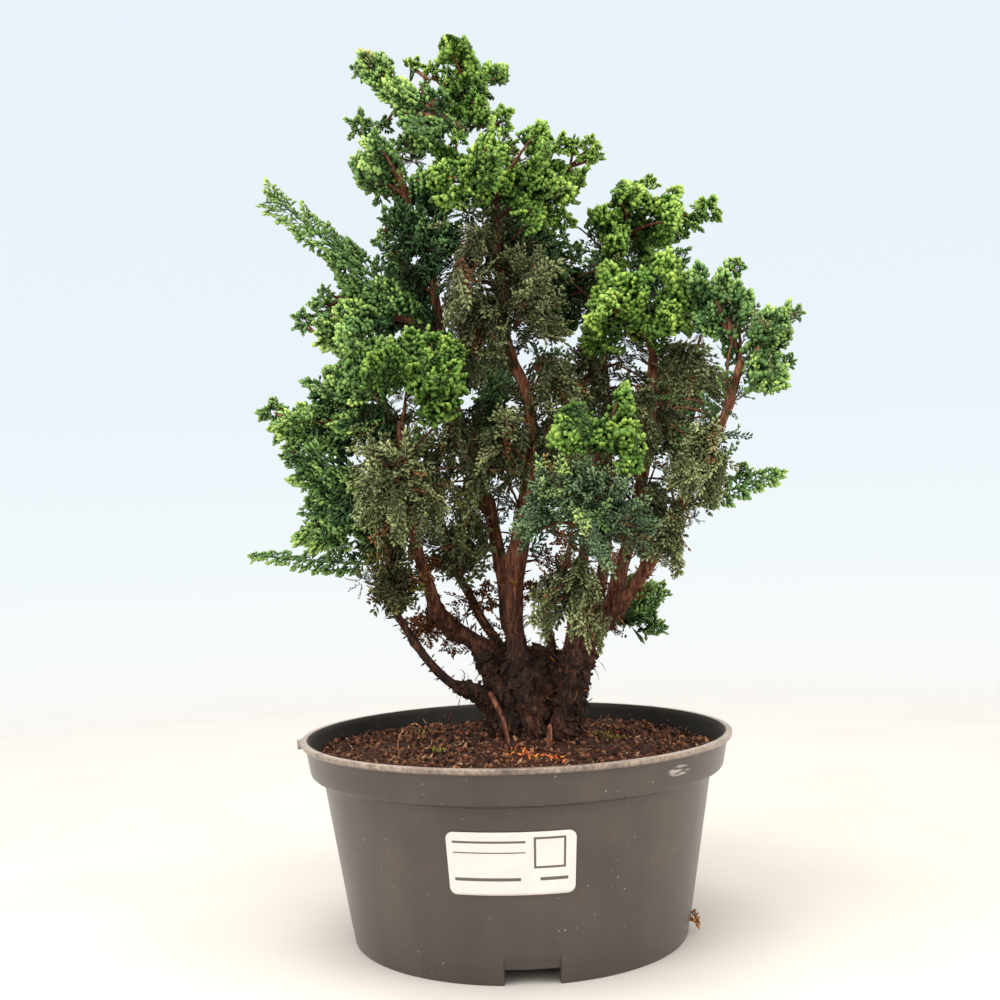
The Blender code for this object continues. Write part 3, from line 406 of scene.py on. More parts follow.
pot_profile = rounded([
    (0.0, FLOOR_Z, 0), (wall_radius(FLOOR_Z) - WALL, FLOOR_Z, 1.5),
    (wall_radius(WALL_TOP_Z) - WALL, WALL_TOP_Z, 1.0), (BAND_LOW_R - WALL, BAND_LOW_Z + WALL, 1.0),
    (LIP_INSIDE_R, LIP_Z - 0.6, 1.2), (LIP_INSIDE_R + 0.9, LIP_Z, 0.5), (LIP_R, LIP_Z, 0.8),
    (LIP_R - 0.3, LIP_UNDER_Z, 0.7), (BAND_TOP_R, LIP_UNDER_Z - 0.3, 0.3),
    (BAND_LOW_R, BAND_LOW_Z, 1.6), (WALL_TOP_R, WALL_TOP_Z, 1.2),
    (wall_radius(SEAM_Z), SEAM_Z, 0.3), (wall_radius(SEAM_Z) - SEAM_DEPTH, SEAM_Z - 0.5, 0.2),
    (FOOT_R - 0.2, 0.0, 0.8), (FOOT_R - FOOT_WIDTH, 0.0, 0.6), (FOOT_R - FOOT_WIDTH, UNDER_Z, 0.5),
    (0.0, UNDER_Z, 0)])
print("rows in the pot's profile", len(pot_profile))

# %% The pot's mesh
POT_COLUMNS = 108
NOTCHES, NOTCH_WIDTH, NOTCH_TOP, NOTCH_TURN = 4, 22.0, 6.2, np.radians(3.0) - np.pi / 2
NOTCH_EDGE = 0.004
RAISED_TO = 12.0
TAB_ANGLE, TAB_HALF, TAB_OUT, TAB_DOWN = np.radians(186.0), 0.045, 1.8, 2.4
LIP_WOBBLE, WOBBLES, RAGS = 0.35, 3, 60
DRAIN_R, DRAIN_AT, DRAIN_SIDES = 4.5, 52.0, 20


def folded(angle, middle):
    """The distance in radians from an angle to a middle one, round the circle."""
    return np.abs((angle - middle + np.pi) % (2 * np.pi) - np.pi)


def pot_mesh():
    """The profile turned about Z: x = r cos a, y = r sin a.

    In a notch the rows from the table up to RAISED_TO are squeezed to start at the notch's top. The lip
    wanders by a slow noise, and bulges at the tab by a bump of 1 - (distance / half width)^2 that is
    ragged by a quick one.
    """
    half = NOTCH_WIDTH / 2 / FOOT_R
    middles = NOTCH_TURN + np.arange(NOTCHES) * 2 * np.pi / NOTCHES
    edges = np.concatenate([middles + s * (half + e) for s in (-1, 1) for e in (0, NOTCH_EDGE)])
    even = np.linspace(0, 2 * np.pi, POT_COLUMNS, endpoint=False)
    angles = np.sort(np.concatenate([even, edges % (2 * np.pi)]))
    rows = pot_profile[1:-1]
    r, z = (np.repeat(rows[:, i, None], len(angles), axis=1) for i in (0, 1))
    a = np.repeat(angles[None], len(rows), axis=0)
    in_notch = (np.min([folded(a, m) for m in middles], axis=0) < half + NOTCH_EDGE / 2) & (r > DRAIN_AT + 10)
    on_foot = (r > FOOT_R - FOOT_WIDTH - 1) & ((z < UNDER_Z - 0.01) | (r > FOOT_R - 1))
    low = (z < RAISED_TO) & in_notch & on_foot
    inside = r < FOOT_R - FOOT_WIDTH + 1
    top = np.where(inside, UNDER_Z, RAISED_TO)
    squeezed = NOTCH_TOP + z * (top - NOTCH_TOP) / top
    z = np.where(low, squeezed, z)
    drifting = bumps(turned(WOBBLES, a, 0 * a).reshape(-1, 3), 1.0, 3).reshape(a.shape)
    high = np.clip((z - BAND_LOW_Z) / (LIP_Z - BAND_LOW_Z), 0, 1)
    tab = np.clip(1 - (folded(a, TAB_ANGLE) / TAB_HALF) ** 2, 0, 1)
    on_edge = (r > BAND_TOP_R + 0.4) & (z > LIP_UNDER_Z - 1)
    ragged = 1 + 0.5 * bumps(np.stack([a * RAGS, z, 0 * a], axis=-1).reshape(-1, 3), 1.0, 5).reshape(a.shape)
    r = r + LIP_WOBBLE * drifting * high + np.where(on_edge, TAB_OUT * tab * ragged, 0)
    z = z - np.where(on_edge & (z < LIP_Z - 1), TAB_DOWN * tab * ragged, 0)
    points = np.concatenate([[[0, 0, FLOOR_Z]], turned(r, a, z).reshape(-1, 3), [[0, 0, UNDER_Z]]])
    return outwards(points, closed_faces(len(rows), len(angles)))


pot_points, pot_faces = pot_mesh()
print("pot", len(pot_faces), "triangles,", round(volume(pot_points, pot_faces) / 1000, 1),
      "cubic centimetres")

# %% [markdown]
# The plastic is polypropylene with recycled filler, which is why it is a brown grey and not a clean black.
# It came out of a polished steel mould, so it has a soft gloss, and then it lived in a nursery: a dull
# film, lime and soil specks from the watering can, a lip rubbed down to a paler beige, and one pale scuff.

# %% The pot's plastic
SCUFF_AT, SCUFF_SIZE = (64.5, -66.0, 80.5), (7.5, 7.5, 2.6)
# Where the lip is rubbed: it grows over these heights and these distances from the pot's axis.
RUBBED_Z, RUBBED_R = (85.2, 86.6), (89.5, 91.2)
# The inside of the band, under the lip, is painted near black and matt: painted shade.
# The band leans out by 0.186 mm a mm, so r - 0.186 z is 77.3 mm outside it and 75.3 mm inside.
BAND_LEAN, SHADE_INSIDE_AT, SHADE_INSIDE_Z = 0.186, (76.6, 76.0), (73.8, 74.6)
# Water leaves at most one speck in each cell of this width.
SPECK_CELL = 2.4

# Polypropylene, injection moulded: a satin skin with faint flow marks, dusty and rubbed at the lip.
plastic, tree, shader = finish_named("moulded_polypropylene", IOR=1.49, Roughness=0.42)
film = noise_of(tree, 34, detail=5)
flow = noise_of(tree, 9, detail=3, stretch=(1, 1, 7))
clouded = add(tree, "ValToRGB", [film], stops=((0.30, "#3c3632"), (0.5, "#423b37"), (0.72, "#4d453f")))
streaked = add(tree, "ValToRGB", [flow], stops=((0.35, "#3b3531"), (0.65, "#453e39")))
place = add(tree, "TexCoord", out="Object")
height = add(tree, "SeparateXYZ", [place], out="Z")
level_place = add(tree, "VectorMath", [place, (1, 1, 0)], operation="MULTIPLY")
reach = add(tree, "VectorMath", [level_place], out="Value", operation="LENGTH")
lip_z = add(tree, "MapRange", [height, RUBBED_Z[0] * MM, RUBBED_Z[1] * MM])
lip_r = add(tree, "MapRange", [reach, RUBBED_R[0] * MM, RUBBED_R[1] * MM])
on_lip = add(tree, "Math", [lip_z, lip_r], operation="MULTIPLY")
patches = add(tree, "MapRange", [noise_of(tree, 9, detail=4), 0.22, 0.50])
worn = add(tree, "Math", [on_lip, patches], operation="MULTIPLY")
rubbed = add(tree, "ValToRGB", [noise_of(tree, 1.6)], stops=((0.3, "#6d5f53"), (0.7, "#a09082")))
leaned = add(tree, "Math", [height, BAND_LEAN], operation="MULTIPLY")
upright = add(tree, "Math", [reach, leaned], operation="SUBTRACT")
inner_r = add(tree, "MapRange", [upright, SHADE_INSIDE_AT[0] * MM, SHADE_INSIDE_AT[1] * MM])
inner_z = add(tree, "MapRange", [height, SHADE_INSIDE_Z[0] * MM, SHADE_INSIDE_Z[1] * MM])
painted_shade_inside = add(tree, "Math", [inner_r, inner_z], operation="MULTIPLY")
stains = add(tree, "MapRange", [noise_of(tree, 7, detail=6), 0.60, 0.82])
cells = add(tree, "TexVoronoi", {"Vector": place, "Scale": 1 / (SPECK_CELL * MM)}).node.outputs
drop = add(tree, "SeparateXYZ", [cells["Color"]]).node.outputs
wide = add(tree, "Math", [add(tree, "MapRange", [drop[0], 0.54, 1.0]), 0.15], operation="MULTIPLY")
speck = add(tree, "Math", [cells["Distance"], wide], operation="LESS_THAN")
dots = add(tree, "ValToRGB", [drop[1]], stops=((0.2, "#8d7a68"), (0.6, "#b5a898"), (0.95, "#382b22")))
off = add(tree, "VectorMath", [place, [v * MM for v in SCUFF_AT]], operation="SUBTRACT")
off = add(tree, "VectorMath", [off, [1 / (v * MM) for v in SCUFF_SIZE]], operation="MULTIPLY")
near = add(tree, "MapRange", [add(tree, "VectorMath", [off], out="Value", operation="LENGTH"), 1.0, 0.7])
scratched = add(tree, "MapRange", [noise_of(tree, 1.1, detail=4, stretch=(5, 5, 1)), 0.47, 0.60])
scuff = add(tree, "Math", [near, scratched], operation="MULTIPLY")
skin = add(tree, "Mix", {0: 0.4, 6: clouded, 7: streaked}, out=2, data_type="RGBA")
skin = add(tree, "Mix", {0: worn, 6: skin, 7: rubbed}, out=2, data_type="RGBA")
# Painted shade first: the inside of the band goes near black. Stains, specks and the scuff are the plastic's
# own marks.
for where, strength, colour in ((painted_shade_inside, 0.95, "#0f0d0b"), (stains, 0.4, "#5c4839"), (speck, 0.7, dots),
                                (scuff, 0.7, "#b9b2aa")):
    share = add(tree, "Math", [where, strength], operation="MULTIPLY")
    skin = add(tree, "Mix", {0: share, 6: skin, 7: colour}, out=2, data_type="RGBA")
gloss = add(tree, "MapRange", {"Value": film, "To Min": 0.23, "To Max": 0.41})
matt = add(tree, "Math", [painted_shade_inside, 0.85], operation="MULTIPLY")
tree.links.new(add(tree, "Math", [gloss, matt], operation="MAXIMUM"), shader.inputs["Roughness"])
dressed(tree, shader, skin, (flow, 0.08), (noise_of(tree, 0.8, detail=2), 0.03),
        (add(tree, "Math", [speck, scuff], operation="MAXIMUM"), 0.08))

# The four drain holes are drilled by a Boolean, whose result becomes the pot's own mesh.
drain_turns = NOTCH_TURN + np.arange(NOTCHES) * 2 * np.pi / NOTCHES
drain_points, drain_faces = loft(turned(DRAIN_AT, drain_turns[:, None], np.array([3.0, 3.01, 12.0, 12.01])),
                                 np.full((NOTCHES, 2), DRAIN_R), np.tile([1.0, 0, 0], (NOTCHES, 1)),
                                 DRAIN_SIDES)
pot = piece("nursery_pot", "pot_plastic", [plastic], pot_points, pot_faces, replaces=["pot"])
drill_mesh = bpy.data.meshes.new("drill")
drill_mesh.from_pydata((drain_points.reshape(-1, 3) * MM).tolist(), [], drain_faces.tolist())
drill = bpy.data.objects.new("drill", drill_mesh)
bpy.context.scene.collection.objects.link(drill)
holes = pot.modifiers.new("drain_holes", "BOOLEAN")
holes.operation, holes.object = "DIFFERENCE", drill
bpy.context.view_layer.update()
drilled = bpy.data.meshes.new_from_object(pot.evaluated_get(bpy.context.evaluated_depsgraph_get()))
pot.modifiers.clear()
pot.data = drilled
drilled.set_sharp_from_angle(angle=np.radians(35))
bpy.data.objects.remove(drill)
print("drilled pot", len(drilled.polygons), "faces, scuff", SCUFF_AT)

# %% [markdown]
# A grower's label is a small sticker of coated paper with cut round corners. It follows the wall, so it is
# a grid bent round the pot, a hair above the plastic, given its thickness by Solidify. What is printed on
# it here is only ruled lines and an empty square, drawn by the material in millimetres across the label.

# %% The label
LABEL_SIZE, LABEL_ROUND, LABEL_Z, LABEL_TURN = (50.0, 25.0), 3.0, 49.5, -0.039
LABEL_OFF, LABEL_THICK, LABEL_COLUMNS, LABEL_ROWS = 0.3, 0.22, 61, 25
# Ruled lines: the middle's place across and up, the length and the thickness.
RULES = ((-8.5, 8.6, 28.0, 0.9), (-8.5, 4.4, 28.0, 0.5), (-9.5, -6.2, 26.0, 1.3), (16.5, -6.2, 11.0, 1.3))
SQUARE_AT, SQUARE_SIDE, SQUARE_LINE = (14.8, 4.2), 12.4, 0.9
# Two corners have come off: how far, from what sum of across and up on, and on which side.
CURLS, CURL_RUN = ((0.5, 33.0, 1), (0.35, 33.6, -1)), 4


def label_grid(columns, rows):
    """A rounded rectangle (s, t) bent round the wall: the angle is s / radius, the height LABEL_Z + t.

    Each column's height is cut where the corner's circle sqrt(round^2 - past^2) cuts it.
    """
    s = np.sin(np.linspace(-np.pi / 2, np.pi / 2, columns)) * LABEL_SIZE[0] / 2
    past = np.clip(np.abs(s) - (LABEL_SIZE[0] / 2 - LABEL_ROUND), 0, LABEL_ROUND)
    high = LABEL_SIZE[1] / 2 - LABEL_ROUND + np.sqrt(np.maximum(LABEL_ROUND ** 2 - past ** 2, 0.01))
    t = np.linspace(-1, 1, rows)[:, None] * high
    s = np.repeat(s[None], rows, axis=0)
    z = LABEL_Z + t
    curl = sum(lift * np.clip((way * (s + t) - start) / CURL_RUN, 0, 1) ** 2 for lift, start, way in CURLS)
    r = wall_radius(z) + LABEL_OFF + curl
    a = -np.pi / 2 + LABEL_TURN + s / wall_radius(LABEL_Z)
    return turned(r, a, z).reshape(-1, 3), s.ravel(), t.ravel()


# Label stock, a coated wood-free paper: brighter than the pot and almost without gloss.
paper, tree, shader = finish_named("coated_label_paper", IOR=1.5, Roughness=0.5)
over_label = [add(tree, "Attribute", out="Fac", attribute_name=name) for name in ("across", "up")]


def printed(tree, middle, size):
    """1 inside a rectangle of the label and 0 outside: both |place - middle| are under half its size."""
    close = []
    for value, centre, wide in zip(over_label, middle, size):
        off = add(tree, "Math", [value, centre], operation="SUBTRACT")
        off = add(tree, "Math", [off], operation="ABSOLUTE")
        close.append(add(tree, "Math", [off, wide / 2], operation="LESS_THAN"))
    return add(tree, "Math", close, operation="MULTIPLY")


ink = 0.0
for middle_s, middle_t, long, thick in RULES:
    rule = printed(tree, (middle_s, middle_t), (long, thick))
    ink = add(tree, "Math", [ink, rule], operation="MAXIMUM")
square, hollow = (printed(tree, SQUARE_AT, (side, side))
                  for side in (SQUARE_SIDE, SQUARE_SIDE - 2 * SQUARE_LINE))
frame_line = add(tree, "Math", [square, hollow], operation="SUBTRACT")
ink = add(tree, "Math", [ink, frame_line], operation="MAXIMUM")
faint = add(tree, "Math", [ink, 0.9], operation="MULTIPLY")
sheet = add(tree, "ValToRGB", [noise_of(tree, 6)], stops=((0.3, "#d3ccc8"), (0.7, "#d8d2ce")))
dressed(tree, shader, add(tree, "Mix", {0: faint, 6: sheet, 7: "#2f2b2a"}, out=2, data_type="RGBA"),
        (noise_of(tree, 0.5), 0.01))

label_points, across_mm, up_mm = label_grid(LABEL_COLUMNS, LABEL_ROWS)
label = piece("label_sticker", "paper", [paper], label_points, grid_faces(LABEL_ROWS, LABEL_COLUMNS),
              marks={"across": across_mm, "up": up_mm}, replaces=["label"])
thick = label.modifiers.new("paper_thickness", "SOLIDIFY")
thick.thickness, thick.offset = LABEL_THICK * MM, 1.0
print("label looks along", [round(v, 2) for v in label.data.polygons[0].normal])

# %% [markdown]
# Potting soil is peat and composted bark: brown crumbs of every size, fibres, chips, a few pale grains and
# whatever the tree has dropped. A bumpy surface with a noisy colour looks like carpet. So the surface is a
# noisy grid, and several thousand crumbs, fibres and chips lie on it, each a closed body of a few faces.

# %% The soil's surface
SOIL_WALL_Z, MOUND, MOUND_REACH, SOIL_BOTTOM_Z, TRUNK_X = 79.5, 9.5, 44.0, 9.3, 8.0
SOIL_R, SOIL_WALL_GAP = BAND_LOW_R - WALL + 0.9, 0.5
# What lies on the soil keeps this far from the wall.
SOIL_RIM = 1.5
SOIL_LUMPS = ((1.3, 22.0, 11), (1.0, 8.0, 12), (0.8, 3.4, 13))
rng = np.random.default_rng(31)


def soil_height(x, y):
    """A low mound round the tree, MOUND * exp(-(r / reach)^2), with lumps 22, 8 and 3.4 mm wide on it."""
    mound = MOUND * np.exp(-(x * x + y * y) / MOUND_REACH ** 2)
    return SOIL_WALL_Z + mound + lumps_of(np.stack([x, y, 0 * x], axis=-1), SOIL_LUMPS)


def soil_mesh(columns=160, rows=60):
    """A turned body: rings out to the wall on the noisy height, then down inside the wall and back in."""
    a = np.linspace(0, 2 * np.pi, columns, endpoint=False)[None]
    r = np.linspace(0, 1, rows + 1)[1:, None] ** 0.8 * SOIL_R
    x, y = r * np.cos(a), r * np.sin(a)
    top = turned(r, a, soil_height(x.ravel(), y.ravel()).reshape(x.shape))
    wall = [(74.5, SOIL_R - 0.7)] + [(z, wall_radius(z) - WALL - SOIL_WALL_GAP)
                                     for z in (WALL_TOP_Z + 0.2, 40.0, SOIL_BOTTOM_Z)]
    side = [turned(radius, a, z) for z, radius in wall + [(SOIL_BOTTOM_Z, wall[-1][1] - 40.0)]]
    rings = np.concatenate([top] + side).reshape(-1, 3)
    middle_z = soil_height(np.zeros(1), np.zeros(1))
    points = np.concatenate([[[0, 0, middle_z[0]]], rings, [[0, 0, SOIL_BOTTOM_Z]]])
    return outwards(points, closed_faces(rows + len(side), columns))


soil_points, soil_faces = soil_mesh()
print("soil", len(soil_faces), "triangles, top at", round(soil_points[:, 2].max(), 1), "mm")


# %% Crumbs, fibres and chips
def scattered(count):
    """Random places on the soil, spread evenly by area, with the height there."""
    r = np.sqrt(rng.uniform(0, (SOIL_R - SOIL_RIM) ** 2, count))
    a = rng.uniform(0, 2 * np.pi, count)
    x, y = r * np.cos(a), r * np.sin(a)
    return np.stack([x, y, soil_height(x, y)], axis=-1)


def crumbs(places, sizes, stretch, sides=5):
    """Lumps at places: a double cone of one ring, whose ends are stretch times as far out as the ring."""
    way = unit(rng.normal(size=places.shape))
    half = (way * (sizes * stretch)[:, None])[:, None, :]
    paths = places[:, None, :] + half * np.array([-1.0, 0.15, 1.0])[:, None]
    points, faces = loft(paths, sizes[:, None], unit(rng.normal(size=places.shape)), sides)
    points = points + rng.normal(size=points.shape) * sizes[:, None, None] * 0.16
    return points.reshape(-1, 3), faces


def fibres(starts, ways, lengths, radii, curl=0.35, sides=3, rings=2):
    """Thin curved strands: start + way * length * t + 2 * curl * length * (t^2 - t) * a random side."""
    t = np.linspace(0, 1, rings + 2)[None, :, None]
    aside = unit(rng.normal(size=starts.shape))[:, None, :]
    reach = lengths[:, None, None]
    paths = starts[:, None, :] + ways[:, None, :] * reach * t + aside * reach * curl * (t * t - t) * 2
    width = radii[:, None] * np.linspace(1.0, 0.6, rings)[None]
    points, faces = loft(paths, width, unit(rng.normal(size=starts.shape)), sides)
    return points.reshape(-1, 3), faces


def flatter(count, tilt):
    """Random directions: nearly level where tilt is small, and steep where it is above 1."""
    return unit(rng.normal(size=(count, 3)) * [1, 1, tilt])


# Crumbs, dust, chips and grains: how many, smallest and largest size in mm, stretch, darkest and palest tone.
LUMPS = ((2600, 0.45, 1.5, 1.1, 0.02, 0.70), (1200, 0.3, 0.7, 1.2, 0.10, 0.75),
         (240, 0.5, 1.1, 2.6, 0.45, 0.85), (50, 0.25, 0.55, 1.0, 0.93, 1.0))
FIBRES = 1600
litter = []
for count, low, high, stretch, tone_low, tone_high in LUMPS:
    places = scattered(count)
    sizes = rng.uniform(low, high, count)
    places[:, 2] += sizes * 0.45
    points, faces = crumbs(places, sizes, np.full(count, stretch))
    litter.append((points, faces, count, tone_low, tone_high))
starts = scattered(FIBRES)
points, faces = fibres(starts + UP * 0.3, flatter(FIBRES, 0.4), rng.uniform(2.0, 6.5, FIBRES),
                       rng.uniform(0.14, 0.34, FIBRES), curl=0.55)
litter.append((points, faces, FIBRES, 0.30, 0.92))
crumb_points, crumb_faces = joined(*[(points, faces) for points, faces, *_ in litter])
crumb_tone = np.concatenate([spread(rng.uniform(low, high, count), points)
                             for points, _, count, low, high in litter])
print("litter", len(crumb_faces), "triangles")

# %% [markdown]
# The colour of each crumb is a number on its points, so one material dresses all of them: dark peat, red
# brown bark, straw and pale mineral grains lie along one ramp. Damp peat is matt, so it has hardly any
# gloss, and a fine noise breaks up what the few faces of a crumb would otherwise show as flat.

# %% The soil's finish and piece
# Peat and composted bark, damp: matt, red brown, with paler fibres.
peat, tree, shader = finish_named("damp_peat", IOR=1.4, Roughness=0.85, Specular_IOR_Level=0.3)
tone_of = add(tree, "Attribute", out="Fac", attribute_name="tone")
fine = noise_of(tree, 0.9, detail=5)
blurred = add(tree, "Math", [fine, 0.60, -0.30], operation="MULTIPLY_ADD")
dressed(tree, shader, add(tree, "ValToRGB", [add(tree, "Math", [tone_of, blurred], operation="ADD")], stops=(
    (0.0, "#170c08"), (0.3, "#3b2218"), (0.55, "#643d2a"), (0.75, "#8c6246"), (0.9, "#b0916f"),
    (1.0, "#cfc4b4"))), (fine, 0.5))

soil_tone = np.full(len(soil_points), 0.22)
all_points, all_faces = joined((soil_points, soil_faces), (crumb_points, crumb_faces))
piece("potting_soil", "soil", [peat], all_points, all_faces,
      marks={"tone": np.concatenate([soil_tone, crumb_tone])}, replaces=["soil"])
print("soil piece", len(all_faces), "triangles")

# %% [markdown]
# A dozen stems rise from one root crown. Each is a tube along a smooth curve through the points that the
# solid trunk also uses, so it stays where the solid is. The bark of a hinoki peels in long thin strips:
# on a tube that is a noise stretched along the stem and squeezed round it. Low down, where light no longer
# reaches, the stems keep the stubs of dead twigs, and these small thorns are what gives them their outline.

# %% The stems' routes
# Each stem's radius at its foot and its tip, and the points it runs through.
STEMS = {
    "low_left": (3.2, 1.8, [(2, -8, 104), (-16, -12, 106), (-27, -14, 111), (-36, -16, 120), (-45, -16, 133),
                            (-52, -15, 145), (-57, -13, 155)]),
    "left": (6.0, 4.6, [(6, 0, 110), (-5, 0, 119), (-19, 0, 129), (-30, 1, 137), (-37, 3, 146)]),
    "left_red": (4.2, 2.2, [(-24, 0, 132), (-33, -6, 142), (-37, -10, 156), (-41, -14, 172), (-43, -16, 184),
                            (-46, -16, 205), (-47, -14, 226)]),
    "left_thin": (3.0, 2.0, [(4, 4, 112), (-12, 10, 134), (-19, 14, 147), (-26, 18, 160), (-30, 20, 172),
                             (-34, 24, 194)]),
    "leader_dark": (5.0, 2.2, [(6, 4, 112), (1, 8, 127), (-3, 12, 150), (-8, 14, 182), (-13, 13, 201),
                               (-19, 10, 220), (-24, 8, 239), (-28, 5, 265), (-32, 2, 292), (-36, 0, 310)]),
    "leader_red": (5.6, 2.2, [(6, -2, 112), (1, -6, 129), (1, -8, 147), (4, -10, 171), (8, -12, 195),
                              (10, -12, 212), (10, -12, 235), (4, -10, 251), (0, -8, 267), (-1, -6, 286),
                              (-2, -2, 308), (-3, 0, 332), (-6, 4, 352)]),
    "front_thin": (2.6, 1.6, [(14, -6, 114), (17, -10, 126), (14, -14, 137), (16, -18, 148), (21, -20, 156),
                              (26, -22, 170)]),
    "front_right": (4.2, 2.0, [(17, -6, 112), (24, -14, 123), (26, -20, 133), (29, -26, 148), (31, -32, 166),
                               (34, -36, 190), (39, -38, 211)]),
    "right": (5.2, 2.6, [(16, 2, 110), (30, 4, 122), (39, 6, 133), (46, 8, 145), (50, 8, 159), (54, 8, 171),
                         (61, 8, 199), (65, 8, 222), (67, 8, 244), (68, 6, 262)]),
    "right_outer": (4.4, 2.2, [(18, 0, 114), (34, 0, 127), (50, -6, 145), (59, -10, 158), (66, -14, 169),
                               (76, -18, 188), (85, -22, 206), (93, -24, 222), (98, -26, 236),
                               (101, -28, 247)]),
    "back_right": (4.4, 2.2, [(16, 6, 112), (33, 18, 127), (44, 30, 161), (47, 34, 199), (48, 34, 238),
                              (46, 32, 266), (47, 30, 286), (52, 26, 306)]),
    "low_right": (2.6, 1.6, [(22, 4, 114), (36, 8, 128), (47, 12, 133)]),
}
STEM_STEP, SLIM, TAPER = 2.0, 0.83, 1.6


def smooth_route(points, step):
    """Points about a step apart on a Catmull-Rom curve.

    Between b and c it is half of 2b + (c - a) t + (2a - 5b + 4c - d) t^2 + (3b - 3c + d - a) t^3.
    """
    known = np.array(points, dtype=float)
    known = np.concatenate([[2 * known[0] - known[1]], known, [2 * known[-1] - known[-2]]])
    route = []
    for a, b, c, d in zip(known, known[1:], known[2:], known[3:]):
        t = np.linspace(0, 1, max(2, round(np.linalg.norm(c - b) / step)), endpoint=False)[:, None]
        route.append(0.5 * (2 * b + (c - a) * t + (2 * a - 5 * b + 4 * c - d) * t ** 2
                            + (3 * b - 3 * c + d - a) * t ** 3))
    return np.concatenate(route + [known[-2:-1]])


routes = {name: smooth_route(points, STEM_STEP) for name, (_, _, points) in STEMS.items()}
radii = {}
for name, (foot_radius, tip_radius, _) in STEMS.items():
    left = 1 - np.linspace(0, 1, len(routes[name]))
    radii[name] = SLIM * (tip_radius + (foot_radius - tip_radius) * left ** TAPER)
wood_points = np.concatenate(list(routes.values()))
wood_radii = np.concatenate(list(radii.values()))
print("stems", len(routes), "with", len(wood_points), "rings")

# %% The stems' bark
STEM_SIDES, LIMB_SIDES, LIMB_STEP, FISSURES_ROUND, FISSURE_LONG = 14, 22, 1.5, 2.2, 16
BURL_ROWS, BURL_COLUMNS, BURL_LEAN, LEAN_FROM_Z, BURL_DEPTH = 56, 96, 0.108, 91.5, 0.94
BURL_LUMPS = ((3.0, 13.0, 41), (2.4, 5.0, 42), (1.3, 2.4, 43))
BURL_OUTLINE = ((60.0, 17.0), (80.0, 19.0), (88.0, 21.5), (94.0, 20.5), (101.0, 21.5), (109.0, 21.5),
                (115.0, 19.5), (120.0, 14.5), (123.5, 8.0), (125.0, 3.0))
# Where limbs run down over the root crown into the soil: radius above, radius below, and the way.
LIMBS = ((3.6, 6.4, [(-17, 0, 127), (-9, -7, 114), (-3, -13, 100), (-1, -15, 86)]),
         (4.2, 6.4, [(1, -8, 132), (3, -14, 115), (7, -18, 100), (8, -17, 86)]),
         (3.2, 5.6, [(25, -16, 126), (24, -19, 112), (21, -19, 98), (19, -17, 86)]),
         (4.2, 6.4, [(34, 4, 124), (29, 0, 112), (26, -4, 99), (23, -5, 86)]),
         (3.8, 6.2, [(30, 16, 124), (24, 15, 112), (19, 15, 98), (17, 13, 86)]),
         (4.0, 6.2, [(0, 9, 128), (4, 14, 114), (4, 17, 99), (4, 16, 86)]),
         (3.0, 6.4, [(-12, 8, 122), (-9, 8, 114), (-7, 6, 100), (-6, 4, 86)]),
         (3.0, 5.4, [(-25, -13, 110), (-14, -11, 104), (-8, -9, 96), (-5, -8, 86)]))
SOILED_Z, CLEAN_Z = 118.0, 190.0
# The stems at the right are redder still: how much, and from what x and z on.
REDDER, REDDER_FROM_X, REDDER_FROM_Z = 0.35, 45, 120


def stem_mesh(route, radius, seed, sides=STEM_SIDES, rough=0.0):
    """A tube whose radius is multiplied by 1 + fissures + knots, plus rough times lumps 4.5 and 2 mm wide.

    Fissures are a noise stretched 16 mm along the stem, on a circle of radius 2.2 that holds about
    fourteen of its lumps. Knots are a wider noise, 8 mm long, to the third power, so that only a few
    stand out.
    """
    along = unit(np.gradient(route, axis=0))
    side = unit(np.cross(along, [0.3, -1.0, 0.1]))
    face = np.cross(side, along)
    a = np.linspace(0, 2 * np.pi, sides, endpoint=False)
    ring = np.cos(a)[None, :, None] * side[:, None] + np.sin(a)[None, :, None] * face[:, None]
    run = np.concatenate([[0], np.cumsum(np.linalg.norm(np.diff(route, axis=0), axis=1))])
    on_tube = turned(FISSURES_ROUND, a[None], run[:, None] / FISSURE_LONG).reshape(-1, 3)
    fissures = bumps(on_tube, 1.0, seed) * 0.10 + bumps(on_tube * [2, 2, 3], 1.0, seed + 1) * 0.07
    swelling = np.clip(bumps(on_tube * [0.5, 0.5, 2.0], 1.0, seed + 2), 0, 1) ** 3 * 0.5
    smooth_tube = (route[:, None] + ring * radius[:, None, None]).reshape(-1, 3)
    lumps = rough * (bumps(smooth_tube, 4.5, seed + 3) + 0.8 * bumps(smooth_tube, 2.0, seed + 4))
    swollen = 1 + (fissures + swelling).reshape(len(route), -1)
    grown = radius[:, None] * swollen + lumps.reshape(len(route), -1)
    taper = np.ones(len(route))
    taper[:2], taper[-2:] = (0.6, 0.9), (0.85, 0.5)
    rings = route[:, None] + ring * (grown * taper[:, None])[:, :, None]
    points = np.concatenate([route[:1] - along[:1] * 0.5, rings.reshape(-1, 3),
                             route[-1:] + along[-1:] * 0.8])
    return outwards(points, closed_faces(len(route), sides))


